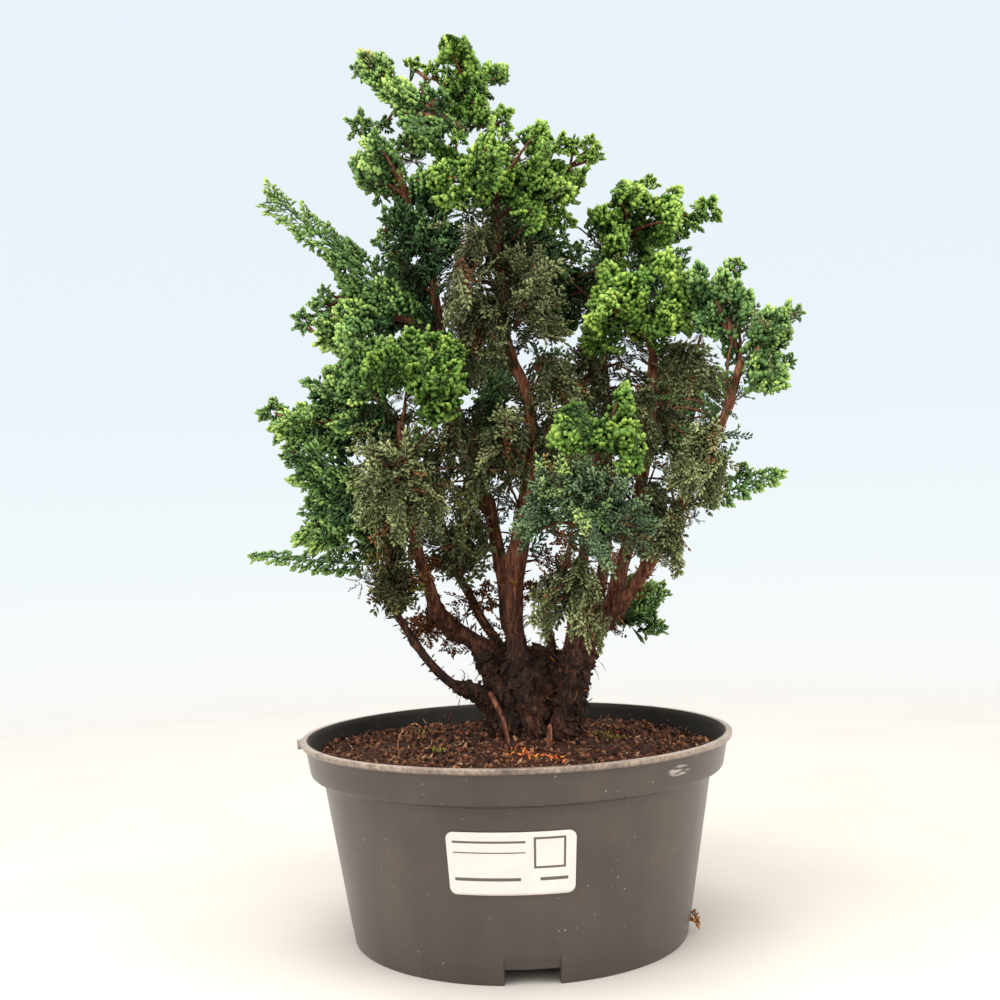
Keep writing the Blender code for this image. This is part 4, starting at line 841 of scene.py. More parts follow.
def burl_mesh():
    """The root crown: its outline turned about an axis that leans a little, with lumps 13, 5 and 2.4 mm wide.

    Down to 80 mm, which is in the soil, the lumps fade out.
    """
    z = np.linspace(BURL_OUTLINE[0][0], BURL_OUTLINE[-1][0], BURL_ROWS)
    r = np.interp(z, *zip(*BURL_OUTLINE))[:, None]
    a = np.linspace(0, 2 * np.pi, BURL_COLUMNS, endpoint=False)[None]
    height = z[:, None] + 0 * a
    x = TRUNK_X + BURL_LEAN * np.clip(height - LEAN_FROM_Z, 0, None)
    middle = np.stack([x, 0 * x, height], axis=-1).reshape(-1, 3)
    points = np.stack([x + r * np.cos(a), BURL_DEPTH * r * np.sin(a), height], axis=-1).reshape(-1, 3)
    free = np.clip((points[:, 2:] - 80) / 12, 0, 1)
    lumps = lumps_of(points, BURL_LUMPS)
    points = points + unit(points - middle) * (lumps[:, None] - 0.8) * free
    points = np.concatenate([[[TRUNK_X, 0, 58.5]], points, [[TRUNK_X + 3.6, 0, 125.4]]])
    return outwards(points, closed_faces(BURL_ROWS, BURL_COLUMNS))


wood = [burl_mesh()] + [stem_mesh(routes[name], radii[name], 50 + 5 * i) for i, name in enumerate(routes)]
for number, (above, below, points) in enumerate(LIMBS):
    route = smooth_route(points, LIMB_STEP)
    wood.append(stem_mesh(route, np.linspace(above, below, len(route)), 150 + 5 * number, sides=LIMB_SIDES,
                          rough=1.2))
print("wood", sum(len(faces) for _, faces in wood), "triangles")

# %% Stubs, root fibres and loose bark
STUBS, STUB_TOP_Z, PEELS, PEELS_FROM_Z = 3300, 215.0, 220, 118.0
BURL_FIBRES, CLODS, CROWN_Z = 1200, 2600, (85, 124)
rng = np.random.default_rng(57)
wood_ways = unit(np.gradient(wood_points, axis=0))


def off_the_wood(at, ways):
    """Random directions out of the wood at some of its rings, square to its own way there."""
    return unit(square_to(rng.normal(size=(len(at), 3)), ways[at]))


low = np.flatnonzero(wood_points[:, 2] < STUB_TOP_Z)
favour = np.clip((STUB_TOP_Z - wood_points[low, 2]) / 90, 0.15, 1) * wood_radii[low]
picks = rng.choice(low, STUBS, p=favour / favour.sum())
out = off_the_wood(picks, wood_ways)
start = wood_points[picks] + out * wood_radii[picks, None] * 0.8
length = rng.gamma(2.0, 0.8, STUBS).clip(0.6, 5.0)
way = unit(out + 0.6 * wood_ways[picks] * rng.uniform(-0.3, 1.0, (STUBS, 1)))
stub_paths = start[:, None] + way[:, None] * (length[:, None] * np.array([0.0, 0.45, 1.0]))[:, :, None]
stubs = loft(stub_paths, rng.uniform(0.3, 0.6, (STUBS, 1)), unit(rng.normal(size=(STUBS, 3))), 3)

peel_at = rng.choice(np.flatnonzero(wood_points[:, 2] > PEELS_FROM_Z), PEELS)
out = off_the_wood(peel_at, wood_ways)
peels = fibres(wood_points[peel_at] + out * wood_radii[peel_at, None] * 0.97,
               unit(wood_ways[peel_at] + 0.16 * out), rng.uniform(4, 11, PEELS),
               rng.uniform(0.25, 0.55, PEELS), curl=0.08)

crown_points = np.concatenate([wood[0][0]] + [points for points, _ in wood[-len(LIMBS):]])
above_soil = np.flatnonzero((crown_points[:, 2] > CROWN_Z[0]) & (crown_points[:, 2] < CROWN_Z[1]))
roots_at = crown_points[rng.choice(above_soil, BURL_FIBRES)]
outward = unit(roots_at - [TRUNK_X + 2, 0, 106])
root_way = unit(square_to(rng.normal(size=(BURL_FIBRES, 3)), outward) + 0.12 * outward)
roots = fibres(roots_at - outward * 0.3, root_way, rng.uniform(3, 10, BURL_FIBRES),
               rng.uniform(0.14, 0.34, BURL_FIBRES), curl=0.6)
clods = crumbs(crown_points[rng.choice(above_soil, CLODS)], rng.gamma(2.0, 0.5, CLODS).clip(0.4, 2.2),
               rng.uniform(0.8, 1.8, CLODS))
print("stubs", STUBS, "peels", PEELS, "root fibres", BURL_FIBRES)

# %% [markdown]
# Two numbers on the points tell the bark material where it is: how clean the wood is, from the soil-black
# root crown to the fox-red upper stems, and how much each stub, strip or clod differs from its neighbours.
# The grain is a noise stretched five times along Z, since all of these stems climb.

# %% The bark's finish and piece
# Hinoki bark: fibrous and matt, red brown where it peels, nearly black where soil and damp have stained it.
bark, tree, shader = finish_named("hinoki_bark", IOR=1.45, Roughness=0.8, Specular_IOR_Level=0.3)
clean_of, luck_of = (add(tree, "Attribute", out="Fac", attribute_name=name) for name in ("clean", "luck"))
grain = noise_of(tree, 1.3, detail=4, stretch=(1, 1, 5))
soiled, weathered, fresh_red = (add(tree, "ValToRGB", [grain], stops=stops) for stops in (
    ((0.30, "#0d0604"), (0.50, "#22120c"), (0.70, "#422719")),
    ((0.30, "#2c160e"), (0.50, "#532f21"), (0.68, "#80553d")),
    ((0.30, "#422216"), (0.50, "#714530"), (0.68, "#a37a5a"))))
blotch = add(tree, "Math", [noise_of(tree, 14, detail=3), 0.8, -0.4], operation="MULTIPLY_ADD")
share = add(tree, "Math", [clean_of, blotch], operation="ADD")
colour = soiled
for low, high, cleaner in ((0.0, 0.5, weathered), (0.55, 1.0, fresh_red)):
    colour = add(tree, "Mix", {0: add(tree, "MapRange", [share, low, high]), 6: colour, 7: cleaner}, out=2,
                 data_type="RGBA")
lighter = add(tree, "Math", [luck_of, 0.65, 1.0], operation="MULTIPLY_ADD")
shade = add(tree, "HueSaturation", {"Value": lighter, "Color": colour})
torn = add(tree, "MapRange", [luck_of, 0.84, 0.88])
colour = add(tree, "Mix", {0: torn, 6: shade, 7: "#8a5127"}, out=2, data_type="RGBA")
dressed(tree, shader, colour, (grain, 0.9))

extra = [(p.reshape(-1, 3), f) for p, f in (stubs, peels, roots, clods)]
counts, luckiest = [STUBS, PEELS, BURL_FIBRES, CLODS], [1.0, 1.0, 1.0, 0.8]
all_points, all_faces = joined(*wood, *extra)
plain = sum(len(p) for p, _ in wood)
luck = np.concatenate([np.zeros(plain)] + [spread(rng.uniform(-0.8, most, count), p)
                                           for (p, _), count, most in zip(extra, counts, luckiest)])
clean = np.clip((all_points[:, 2] - SOILED_Z) / (CLEAN_Z - SOILED_Z), 0, 1)
at_right = np.clip((all_points[:, 0] - REDDER_FROM_X) / 20, 0, 1) * (all_points[:, 2] > REDDER_FROM_Z)
clean = clean + REDDER * at_right
piece("stems_and_root_crown", "bark", [bark], all_points, all_faces, marks={"clean": clean, "luck": luck},
      smooth=np.arange(len(all_faces)) < sum(len(f) for _, f in wood), replaces=["trunk"])
print("bark piece", len(all_faces), "triangles")

# %% [markdown]
# Hinoki leaves are scales pressed to the twig, so what the eye takes for a leaf is a shoot: a blunt green
# club about 2.5 mm thick. Young shoots stand close together in small cupped hands at the bright tips of
# the boughs. Along an arm they lie in flat fans whose rims are bright. Older ones, in the shade, are narrow
# feathers that hang. So a spray has one of three plans, each a short list of shoots worked out by a rule.

# %% The three plans of a spray
def shoot(plan, start, angle, length, radius):
    """Add a shoot to a plan: from a point of the spray's plane, at an angle in degrees, and how thick."""
    turn = np.radians(angle)
    end = (start[0] + length * np.cos(turn), start[1] + length * np.sin(turn))
    plan.append((*start, *end, radius))
    return end


def along(start, end, share):
    """The point at a share of the way from a start to an end."""
    return tuple(s + (e - s) * share for s, e in zip(start, end))


def hand_plan(pairs=3):
    """A cupped hand: a rib, pairs of side shoots that fork, and three shoots at the end.

    Lengths and radii are shares of the spray's own length.
    """
    plan = []
    shoot(plan, (0.0, 0.0), 0, 0.60, 0.05)
    for i in range(pairs):
        for side in (-1, 1):
            start = (0.06 + 0.18 * i + (0.08 if side > 0 else 0.0), 0.0)
            angle = side * (62 - 9 * i)
            end = shoot(plan, start, angle, 0.46 - 0.07 * i, 0.125)
            if i < pairs - 1:
                shoot(plan, along(start, end, 0.40), angle * 0.1, 0.30, 0.105)
    for angle in (-29, 0, 29):
        shoot(plan, (0.55, 0.0), angle, 0.43 - abs(angle) / 300, 0.115)
    return np.array(plan)


def fan_plan(pairs=4):
    """A flat fan: a rib, side twigs that each carry three clubs, and three clubs at the end."""
    plan = []
    shoot(plan, (0.0, 0.0), 0, 0.74, 0.03)
    for i in range(pairs):
        for side in (-1, 1):
            start = (0.05 + 0.165 * i + (0.08 if side > 0 else 0.0), 0.0)
            angle = side * (58 - 6 * i)
            end = shoot(plan, start, angle, 0.46 - 0.075 * i, 0.066)
            shoot(plan, along(start, end, 0.40), angle * 0.1, 0.20, 0.062)
            if i < pairs - 1:
                shoot(plan, along(start, end, 0.62), angle * 1.75, 0.15, 0.056)
    for angle in (-32, 0, 32):
        shoot(plan, (0.70, 0.0), angle, 0.27 - abs(angle) / 400, 0.066)
    return np.array(plan)


def feather_plan(pairs=7):
    """A narrow feather: a rib, leaf pairs that shorten towards both ends, and one leaf at the tip."""
    plan = []
    shoot(plan, (0.0, 0.0), 0, 0.9, 0.025)
    for i in range(pairs):
        share = (i + 0.6) / pairs
        length = 0.26 * (1 - 0.5 * share) * min(1.0, 0.6 + 2 * share)
        for side in (-1, 1):
            shoot(plan, (0.02 + 0.86 * share + 0.02 * side, 0.0), side * 44, length, 0.048)
    shoot(plan, (0.86, 0.0), 0, 0.15, 0.045)
    return np.array(plan)


PLANS = {"hand": hand_plan(), "fan": fan_plan(), "feather": feather_plan()}
# A shoot is a body with one ring of three points: how far along it the ring lies, how fresh and how lit
# its base, ring and tip are painted, the base darkest as painted shade, and how flat it is.
RING_AT = {"hand": 0.74, "fan": 0.70, "feather": 0.52}
FRESH_AND_LIT_ALONG_SHOOT = {"hand": (0.20, 0.85, 1.0), "fan": (0.30, 0.82, 1.0), "feather": (0.35, 0.75, 1.0)}
FLATNESS = {"hand": 0.90, "fan": 0.60, "feather": 0.50}
SIDES = 3
# How far a shoot's end strays along, across and out of its spray, in shares of the spray's size.
STRAY = (0.028, 0.028, 0.035)
print({name: len(plan) for name, plan in PLANS.items()}, "shoots in each plan")


# %% Growing sprays from a plan
def sprays(kind, feet, ways, facing, sizes, cup, droop, fresh_and_lit, rng):
    """Every spray of one kind at once: points, faces, and how fresh and how lit each point is painted.

    A plan point (u, v) of a spray lies at foot + size * (u * way + v * side + w * face), with
    w = cup * v^2 - droop * u^2, so a positive cup closes the hand and a positive droop bends it down.
    """
    plan, share = PLANS[kind], np.array([0.0, RING_AT[kind], 1.0])
    count, shoots = len(feet), len(plan)
    way = unit(ways)
    side = unit(np.cross(facing, way))
    face = np.cross(way, side)
    jitter = rng.normal(size=(count, shoots, 3)) * STRAY
    start, end = plan[None, :, 0:2] + 0 * jitter[..., :2], plan[None, :, 2:4] + jitter[..., :2]
    flat = start[:, :, None] * (1 - share)[:, None] + end[:, :, None] * share[:, None]
    u, v = flat[..., 0, None], flat[..., 1, None]
    lift = cup * v * v - droop * u * u + jitter[..., 2, None, None] * share[:, None]
    way, side, face = (axis[:, None, None] for axis in (way, side, face))
    paths = feet[:, None, None] + sizes[:, None, None, None] * (u * way + v * side + lift * face)
    wide = plan[:, 4] * sizes[:, None] * rng.uniform(0.85, 1.15, (count, shoots))
    points, faces = loft(paths.reshape(-1, 3, 3), wide.reshape(-1, 1),
                         np.repeat(face[:, 0, 0], shoots, axis=0), SIDES, flat=FLATNESS[kind])
    # A shoot's base is painted darker than its tip: painted shade, as well as older growth.
    tip = np.repeat(FRESH_AND_LIT_ALONG_SHOOT[kind], (1, SIDES, 1))
    reach = np.hypot(plan[:, 2] - 0.1, plan[:, 3])
    reach = 0.62 + 0.38 * reach / reach.max()
    fresh_and_lit_shoots = fresh_and_lit[:, None, None] * tip * reach[:, None] + rng.uniform(-0.06, 0.06, (count, shoots, 1))
    return points.reshape(-1, 3), faces, fresh_and_lit_shoots.reshape(-1)


for kind in PLANS:
    trial = sprays(kind, np.zeros((1, 3)), UP[None], np.array([[0, -1.0, 0]]), np.array([11.0]), 0.5, 0.1,
                   np.ones(1), np.random.default_rng(1))
    print("a", kind, "has", len(trial[1]), "triangles and", round(volume(trial[0], trial[1]), 1), "mm3")

# %% [markdown]
# All foliage finishes share one recipe: a ramp from the shaded base of a shoot to its tip, a little luck
# from spray to spray, a few dead brown sprays, and a pattern of scales a millimetre long. Only the colours
# on the ramp differ between the bright crown, the green arms, the blue front bough, the olive inside and
# the sprays that turn yellow or have died.

# %% Leaf finishes
def leaf_finish(name, dead, roughness, stops):
    """Scale leaves: waxy, so softly glossy, darker where the scales meet.

    A spray's luck runs from -1 to 1, and one whose luck is past dead has turned brown.
    """
    made, tree, shader = finish_named(name, IOR=1.42, Roughness=roughness, Specular_IOR_Level=0.35)
    fresh_and_lit_of, luck_of = (add(tree, "Attribute", out="Fac", attribute_name=key) for key in ("fresh_and_lit", "luck"))
    scales, drift = noise_of(tree, 0.9, detail=2), noise_of(tree, 16, detail=2)
    level = fresh_and_lit_of
    for pattern, strength in ((scales, 0.44), (drift, 0.28)):
        shift = add(tree, "Math", [pattern, strength, -strength / 2], operation="MULTIPLY_ADD")
        level = add(tree, "Math", [level, shift], operation="ADD")
    green = add(tree, "ValToRGB", [level], stops=stops)
    hue, value = (add(tree, "Math", [luck_of, strength, middle], operation="MULTIPLY_ADD")
                  for strength, middle in ((-0.014, 0.5), (0.22, 1.0)))
    warm = add(tree, "HueSaturation", {"Hue": hue, "Value": value, "Color": green})
    brown = add(tree, "ValToRGB", [level], stops=((0.0, "#2a160c"), (0.5, "#6b4424"), (1.0, "#a87c4c")))
    gone = add(tree, "MapRange", [luck_of, dead, dead + 0.02])
    colour = add(tree, "Mix", {0: gone, 6: warm, 7: brown}, out=2, data_type="RGBA")
    dressed(tree, shader, colour, (scales, 0.35))
    return made


# Each finish's name, the luck past which it is dead, its roughness, and its colours from base to tip.
LEAVES = (
    ("bright_scale_leaves", 0.985, 0.50, (
        (0.0, "#121f0a"), (0.32, "#334f1b"), (0.60, "#638835"), (0.95, "#a3c25b"))),
    ("green_scale_leaves", 0.985, 0.50, (
        (0.0, "#132210"), (0.34, "#35532c"), (0.64, "#668a49"), (0.96, "#b0cd6c"))),
    ("blue_green_scale_leaves", 0.97, 0.50, (
        (0.0, "#1c271c"), (0.34, "#43593f"), (0.66, "#748f66"), (0.96, "#b6cf6c"))),
    ("olive_scale_leaves", 0.90, 0.55, (
        (0.0, "#1c1b10"), (0.34, "#4e5432"), (0.66, "#8a9463"), (0.98, "#c2cc99"))),
    ("dead_rusty_leaves", 1.5, 0.75, (
        (0.0, "#1d0f07"), (0.34, "#55300f"), (0.64, "#8a5426"), (0.95, "#c09248"))),
    ("yellowing_scale_leaves", 0.70, 0.60, (
        (0.0, "#1b190b"), (0.44, "#444829"), (0.68, "#7f7a30"), (0.95, "#bfa548"))))
BRIGHT, GREEN, BLUE, OLIVE, DEAD, YELLOW = (leaf_finish(*row) for row in LEAVES)
print("leaf finishes", [name for name, *_ in LEAVES])

# %% [markdown]
# A bough's imported solid is a twig with a few thick lobed plumes. Its skin only guides the growth: sprays
# are planted over it, one in each cell of an even lattice so that none crowd together, and each grows away
# from where the bough leaves its stem and ends at the skin. Twigs inside carry them. A spray needs light:
# rays sent out in twelve directions tell how open each place is. Where hardly any gets out nothing grows,
# and the more of them do, the fresher the spray and the lighter it is painted, which is painted light.

# %% Skins and light
CLUSTER, LIGHT_REACH = 9.0, 70.0
golden = (1 + 5 ** 0.5) / 2
corners = np.array([(0, a, b * golden) for a in (-1, 1) for b in (-1, 1)])
TWELVE_WAYS = unit(np.concatenate([corners, corners[:, [1, 2, 0]], corners[:, [2, 0, 1]]]))
low_corner, high_corner = (np.array(corner) / MM for corner in solid_box)


def skin_of(node):
    """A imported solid's own triangles in millimetres, with equal points merged."""
    mesh = nodes[node].data
    places = np.empty(3 * len(mesh.vertices), dtype=np.float32)
    mesh.vertices.foreach_get("co", places)
    mesh.calc_loop_triangles()
    corners = np.empty(3 * len(mesh.loop_triangles), dtype=np.int32)
    mesh.loop_triangles.foreach_get("vertices", corners)
    merged, back = np.unique((places.reshape(-1, 3) / MM).round(3), axis=0, return_inverse=True)
    faces = back.reshape(-1)[corners].reshape(-1, 3)
    whole = (faces[:, 0] != faces[:, 1]) & (faces[:, 1] != faces[:, 2]) & (faces[:, 2] != faces[:, 0])
    return merged.astype(float), faces[whole]


def planted(points, faces, cell, rng, tries=12):
    """Places spread over a skin, and which way it faces there.

    Many points are drawn with a chance in proportion to a triangle's area, at (1 - sqrt p) a +
    sqrt p (1 - q) b + sqrt p q c, and only the first in each lattice cell and facing is kept.
    """
    a, b, c = (points[faces[:, i]] for i in range(3))
    cross = np.cross(b - a, c - a)
    area = np.linalg.norm(cross, axis=1) / 2
    pick = rng.choice(len(faces), int(tries * area.sum() / cell ** 2), p=area / area.sum())
    p, q = np.sqrt(rng.random((len(pick), 1))), rng.random((len(pick), 1))
    places = (1 - p) * a[pick] + p * (1 - q) * b[pick] + p * q * c[pick]
    facing = unit(cross[pick])
    keys = np.concatenate([np.floor(places / cell), np.round(facing * 0.8)], axis=1).astype(int)
    first = np.sort(np.unique(keys, axis=0, return_index=True)[1])
    return places[first], facing[first]


def bough_wood(points, foot, goals=6):
    """Twigs inside a bough, bent by its middle: from its foot to goals that lie far apart on its skin."""
    middle = points.mean(axis=0)
    ends = [foot]
    while len(ends) <= goals:
        gaps = np.min([np.linalg.norm(points - end, axis=1) for end in ends], axis=0)
        ends.append(points[gaps.argmax()])
    t = np.linspace(0, 1, 9)[:, None]
    paths = [bend(t, foot, middle, 0.8 * end + 0.2 * middle) for end in ends[1:]]
    made, faces = loft(np.array(paths), np.tile(np.linspace(1.5, 0.5, 7), (goals, 1)),
                       np.tile([0.2, -0.9, 0.4], (goals, 1)), 5)
    return made.reshape(-1, 3), faces


def bough_foot(points):
    """The bough's point that lies nearest to any stem, where it grows from."""
    gaps = np.linalg.norm(points[:, None] - wood_points[None], axis=2) - wood_radii[None]
    return points[np.unravel_index(gaps.argmin(), gaps.shape)[0]]


# Boughs whose outer part grows a few millimetres off its solid's middle, how slim it is beside the solid,
# and how far it droops to both sides of its middle.
SHIFTS = {"bough_apex": ((1, 0, 0), (0.82, 0.9, 0.86), 0.20), "bough_top_left": ((0, 0, -3), 0.92, 0.10),
          "bough_crown_right": ((-3, 0, -6), 0.90, 0.0), "bough_ball_left": ((3, 0, 0), 0.90, 0.0),
          "bough_low_right": ((-6, 0, -3), 0.85, 0.0), "bough_outer_2": ((-2, 0, 6), 0.82, 0.0),
          "bough_outer_1": ((-1, 0, 1), 0.90, 0.0), "bough_right_inner": ((-2, 0, 0), 0.86, 0.0),
          "bough_outer_top": ((-3, 0, -5), 0.88, 0.0), "bough_outer_right": ((-1, 0, 3), 0.92, 0.0),
          "bough_tier_left": ((9, 0, 6), 0.86, 0.0), "bough_front_blue": ((-7, 0, 5), 0.88, 0.0),
          "bough_front_top": ((-6, 0, -8), 0.90, 0.0), "bough_left": ((4, 0, 0), 0.88, 0.0),
          "bough_right_crown": ((-2, 0, 2), (0.66, 0.95, 0.98), 0.0),
          "bough_wide_left": ((3, 0, -1), 0.88, 0.0),
          "frond_right": ((-2, 0, 3), 1.0, 0.0), "frond_long_left": ((0, 0, 0), 1.0, 0.0)}
skins = {name: skin_of(name) for name in sorted(nodes) if name.startswith(("bough_", "frond_"))}
for name, (shift, slim, droop) in SHIFTS.items():
    points, faces = skins[name]
    off_middle = points - points.mean(axis=0)
    outer = np.clip(np.linalg.norm(points - bough_foot(points), axis=1) / 20, 0, 1)[:, None]
    moved = off_middle * (np.array(slim) - 1) + shift - droop * UP * abs(off_middle[:, :1])
    skins[name] = points + outer * moved, faces
every_point, every_face = joined(*skins.values())
anywhere = np.concatenate([every_point, wood_points])
shade_tree = BVHTree.FromPolygons((every_point * MM).tolist(), every_face.tolist())


def openness(places, facing):
    """The share of twelve rays, from a millimetre above each place, that meet no bough within reach."""
    starts = (places + facing) * MM
    clear = [[shade_tree.ray_cast(Vector(start), Vector(way), LIGHT_REACH * MM)[0] is None
              for way in TWELVE_WAYS] for start in starts]
    return np.array(clear).mean(axis=1)


print("skins", len(skins), "with", len(every_face), "triangles")

# %% [markdown]
# Each kind of bough has its habit: which plan its sprays follow, how far apart and how long they are, how
# they lean away from the skin and up or down, how they cup and droop, and how fresh they can be and how lit
# they are painted. With the habits in a table, one function plants every bough, and a change of mind is a
# change of one number.

# %% The habits of the boughs
CLUMP = dict(plan="hand", cell=7.1, size=11.0, out=0.75, lift=0.25, cup=0.70, droop=0.10, fresh_and_lit=(0.38, 1.0),
             finish=BRIGHT, slot="bright_foliage", back=0.60)
TIP = dict(CLUMP, cell=7.6, size=11.5, out=0.60, fresh_and_lit=(0.35, 1.02), finish=GREEN, slot="green_foliage")
ARM = dict(plan="fan", cell=10.2, size=18.5, out=0.40, lift=0.10, cup=0.35, droop=0.16, fresh_and_lit=(0.30, 1.0),
           finish=GREEN, slot="green_foliage", back=0.68)
BLUE_DRAPE = dict(plan="feather", cell=7.2, size=16.0, out=0.45, lift=-0.45, cup=0.30, droop=0.22,
                  fresh_and_lit=(0.32, 0.82), finish=BLUE, slot="olive_foliage", back=0.60)
DRAPE = dict(plan="feather", cell=7.8, size=18.5, out=0.60, lift=-0.25, cup=0.15, droop=0.15,
             fresh_and_lit=(0.32, 0.92), finish=OLIVE, slot="olive_foliage", back=0.62)
TIPS = ("bough_top_left", "bough_ball_left", "bough_tier_left", "bough_outer_top", "bough_outer_right",
        "bough_left_shoulder")
SHADE = dict(ARM, cell=8.6, size=15.0, lift=-0.1, fresh_and_lit=(0.08, 0.62), slot="olive_foliage")
OWN_HABIT = {"bough_front_blue": BLUE_DRAPE, "bough_crown_hanging": SHADE, "bough_right_hanging": SHADE,
             "bough_inner_left": SHADE, "bough_dark_left": SHADE,
             "bough_olive_low": dict(DRAPE, finish=YELLOW, fresh_and_lit=(0.10, 0.70)),
             "bough_front_top": dict(CLUMP, fresh_and_lit=(0.28, 0.90)),
             "bough_bright_ball": dict(CLUMP, fresh_and_lit=(0.32, 0.90))}
OWN_HABIT.update({"bough_inner_" + number: dict(DRAPE, fresh_and_lit=(0.22, 0.80)) for number in "12345"})
OWN_HABIT.update({name: TIP for name in TIPS})
# Where the blue green front bough carries young lime tips: x, z and radius in millimetres.
LIME_SPOTS = ((21, 203, 6.5), (50, 200, 6.0), (29, 180, 5.5), (17, 194, 4.0), (45, 208, 5.0))
BARE_TWIG, LEAST_LIGHT, EDGE_ROOM = 5.5, 0.18, 3.0
# How much a spray's way follows the line from its bough's foot, and how much its way and its face stray.
FOLLOW, WAY_STRAY, FACE_STRAY = 0.8, 0.24, 0.30


def grow(node, habit, rng):
    """One bough: its twigs and all its sprays, as a piece that replaces the solid."""
    points, faces = skins[node]
    foot = bough_foot(points)
    places, facing = planted(points, faces, habit["cell"], rng)
    light = openness(places, facing)
    reach = np.linalg.norm(places - foot, axis=1)
    keep = (reach > BARE_TWIG) & (light > LEAST_LIGHT)
    places, facing, reach, light = places[keep], facing[keep], reach[keep], light[keep]
    count = len(places)
    growth = unit(places - foot)
    ways = FOLLOW * growth + habit["out"] * facing + habit["lift"] * UP
    ways = unit(ways + WAY_STRAY * rng.normal(size=(count, 3)))
    looks = facing + FACE_STRAY * rng.normal(size=(count, 3)) + 0.25 * UP
    ridge = bumps(places, CLUSTER, rng.integers(1000)).clip(-1, 1)
    sizes = habit["size"] * (1 + 0.22 * ridge) * rng.uniform(0.85, 1.12, count)
    feet = places - ways * (sizes * habit["back"])[:, None] + facing * (1.2 * ridge - 0.4)[:, None]
    tips = feet + ways * sizes[:, None]
    over = np.maximum(tips - high_corner - EDGE_ROOM, 0) + np.maximum(low_corner - EDGE_ROOM - tips, 0)
    feet = feet - np.sign(tips) * np.where(over > 0, over, 0)
    low_fresh_and_lit, high_fresh_and_lit = habit["fresh_and_lit"]
    # Sprays open to the sky and facing up are painted lighter and shut-in ones darker, which is painted light
    # and shade; reach and ridges stand for fresh growth.
    lit = 0.25 + 0.9 * (light - 0.25) + 0.25 * facing[:, 2] + 0.25 * reach / reach.max() + 0.30 * ridge
    fresh_and_lit = low_fresh_and_lit + (high_fresh_and_lit - low_fresh_and_lit) * np.clip(lit + 0.12 * rng.normal(size=count), 0, 1)
    if habit["finish"] is BLUE:
        for x, z, radius in LIME_SPOTS:
            fresh_and_lit = np.where(np.hypot(places[:, 0] - x, places[:, 2] - z) < radius, 1.05, fresh_and_lit)
    leaf_points, leaf_faces, leaf_fresh_and_lit = sprays(habit["plan"], feet, ways, looks, sizes, habit["cup"],
                                                 habit["droop"], fresh_and_lit, rng)
    luck = spread(rng.uniform(-1, 1, count), leaf_points)
    twig_points, twig_faces = bough_wood(points, foot)
    all_points, all_faces = joined((twig_points, twig_faces), (leaf_points, leaf_faces))
    parts = np.repeat([1, 0], [len(twig_faces), len(leaf_faces)])
    wooden = np.zeros(len(twig_points))
    marks = {"fresh_and_lit": np.concatenate([wooden, leaf_fresh_and_lit]), "luck": np.concatenate([wooden, luck]),
             "clean": np.full(len(all_points), 0.7)}
    piece(node + "_sprays", habit["slot"], [habit["finish"], bark], all_points, all_faces, parts=parts,
          marks=marks, replaces=[node])
    return habit["plan"], count, len(all_faces)


# The record says which of the three foliage slots each bough belongs to.
slot_of = {row["node"]: row["material_slot"] for row in frame["record"]["subparts"]}
HABITS = {"bright_foliage": CLUMP, "green_foliage": ARM, "olive_foliage": DRAPE}
grown = []
for number, node in enumerate(name for name in skins if name.startswith("bough_")):
    habit = OWN_HABIT.get(node, HABITS[slot_of[node]])
    grown.append(grow(node, habit, np.random.default_rng(700 + number)))
for kind in PLANS:
    print(kind, "sprays", sum(n for plan, n, _ in grown if plan == kind),
          "triangles", sum(t for plan, _, t in grown if plan == kind))

# %% [markdown]
# Between the boughs the crown is full of older growth: twigs that run from a stem out to the boughs, with
# olive feathers along them, and short feathers straight on the stems. Each twig here aims at a point of a
# bough, so all of this growth stays inside the crown. Lowest down, where no light comes, it has died rusty.

# %% Inner growth
TWIGS, TWIG_STEPS, TWIG_FEATHER, SHEATH, DEAD_BELOW, INNER_LIGHT = 170, 6, 18.0, 560, 166.0, 0.52
CROWN_MIDDLE, CROWN_SIZE = np.array([15.0, 0.0, 240.0]), [110, 60, 140]
rng = np.random.default_rng(61)
ring_ways = unit(np.concatenate([np.gradient(route, axis=0) for route in routes.values()]))
LEAFY_FROM_Z, LEAFY_TO_Z, TWIGS_ABOVE, SHORTEST, LONGEST = 126.0, 350.0, 170.0, 10, 42
leafy = np.flatnonzero((wood_points[:, 2] > LEAFY_FROM_Z) & (wood_points[:, 2] < LEAFY_TO_Z))


def inner_twigs(count):
    """Curved twigs from a stem to a bough 10 to 42 mm away, that don't run steeply down."""
    paths = []
    high = leafy[wood_points[leafy, 2] > TWIGS_ABOVE]
    while len(paths) < count:
        at = rng.choice(high)
        goals = every_point[rng.choice(len(every_point), 400)]
        gaps = goals - wood_points[at]
        far = np.linalg.norm(gaps, axis=1)
        good = np.flatnonzero((far > SHORTEST) & (far < LONGEST) & (gaps[:, 2] > -0.35 * far))
        if len(good):
            goal = goals[good[0]] * 0.75 + wood_points[at] * 0.25
            t = np.linspace(0, 1, TWIG_STEPS + 1)[:, None]
            bow = (UP * 0.5 + 0.5 * rng.normal(size=3)) * far[good[0]] * 0.22
            paths.append(wood_points[at] + (goal - wood_points[at]) * t + bow * (t - t * t) * 2)
    return np.array(paths)


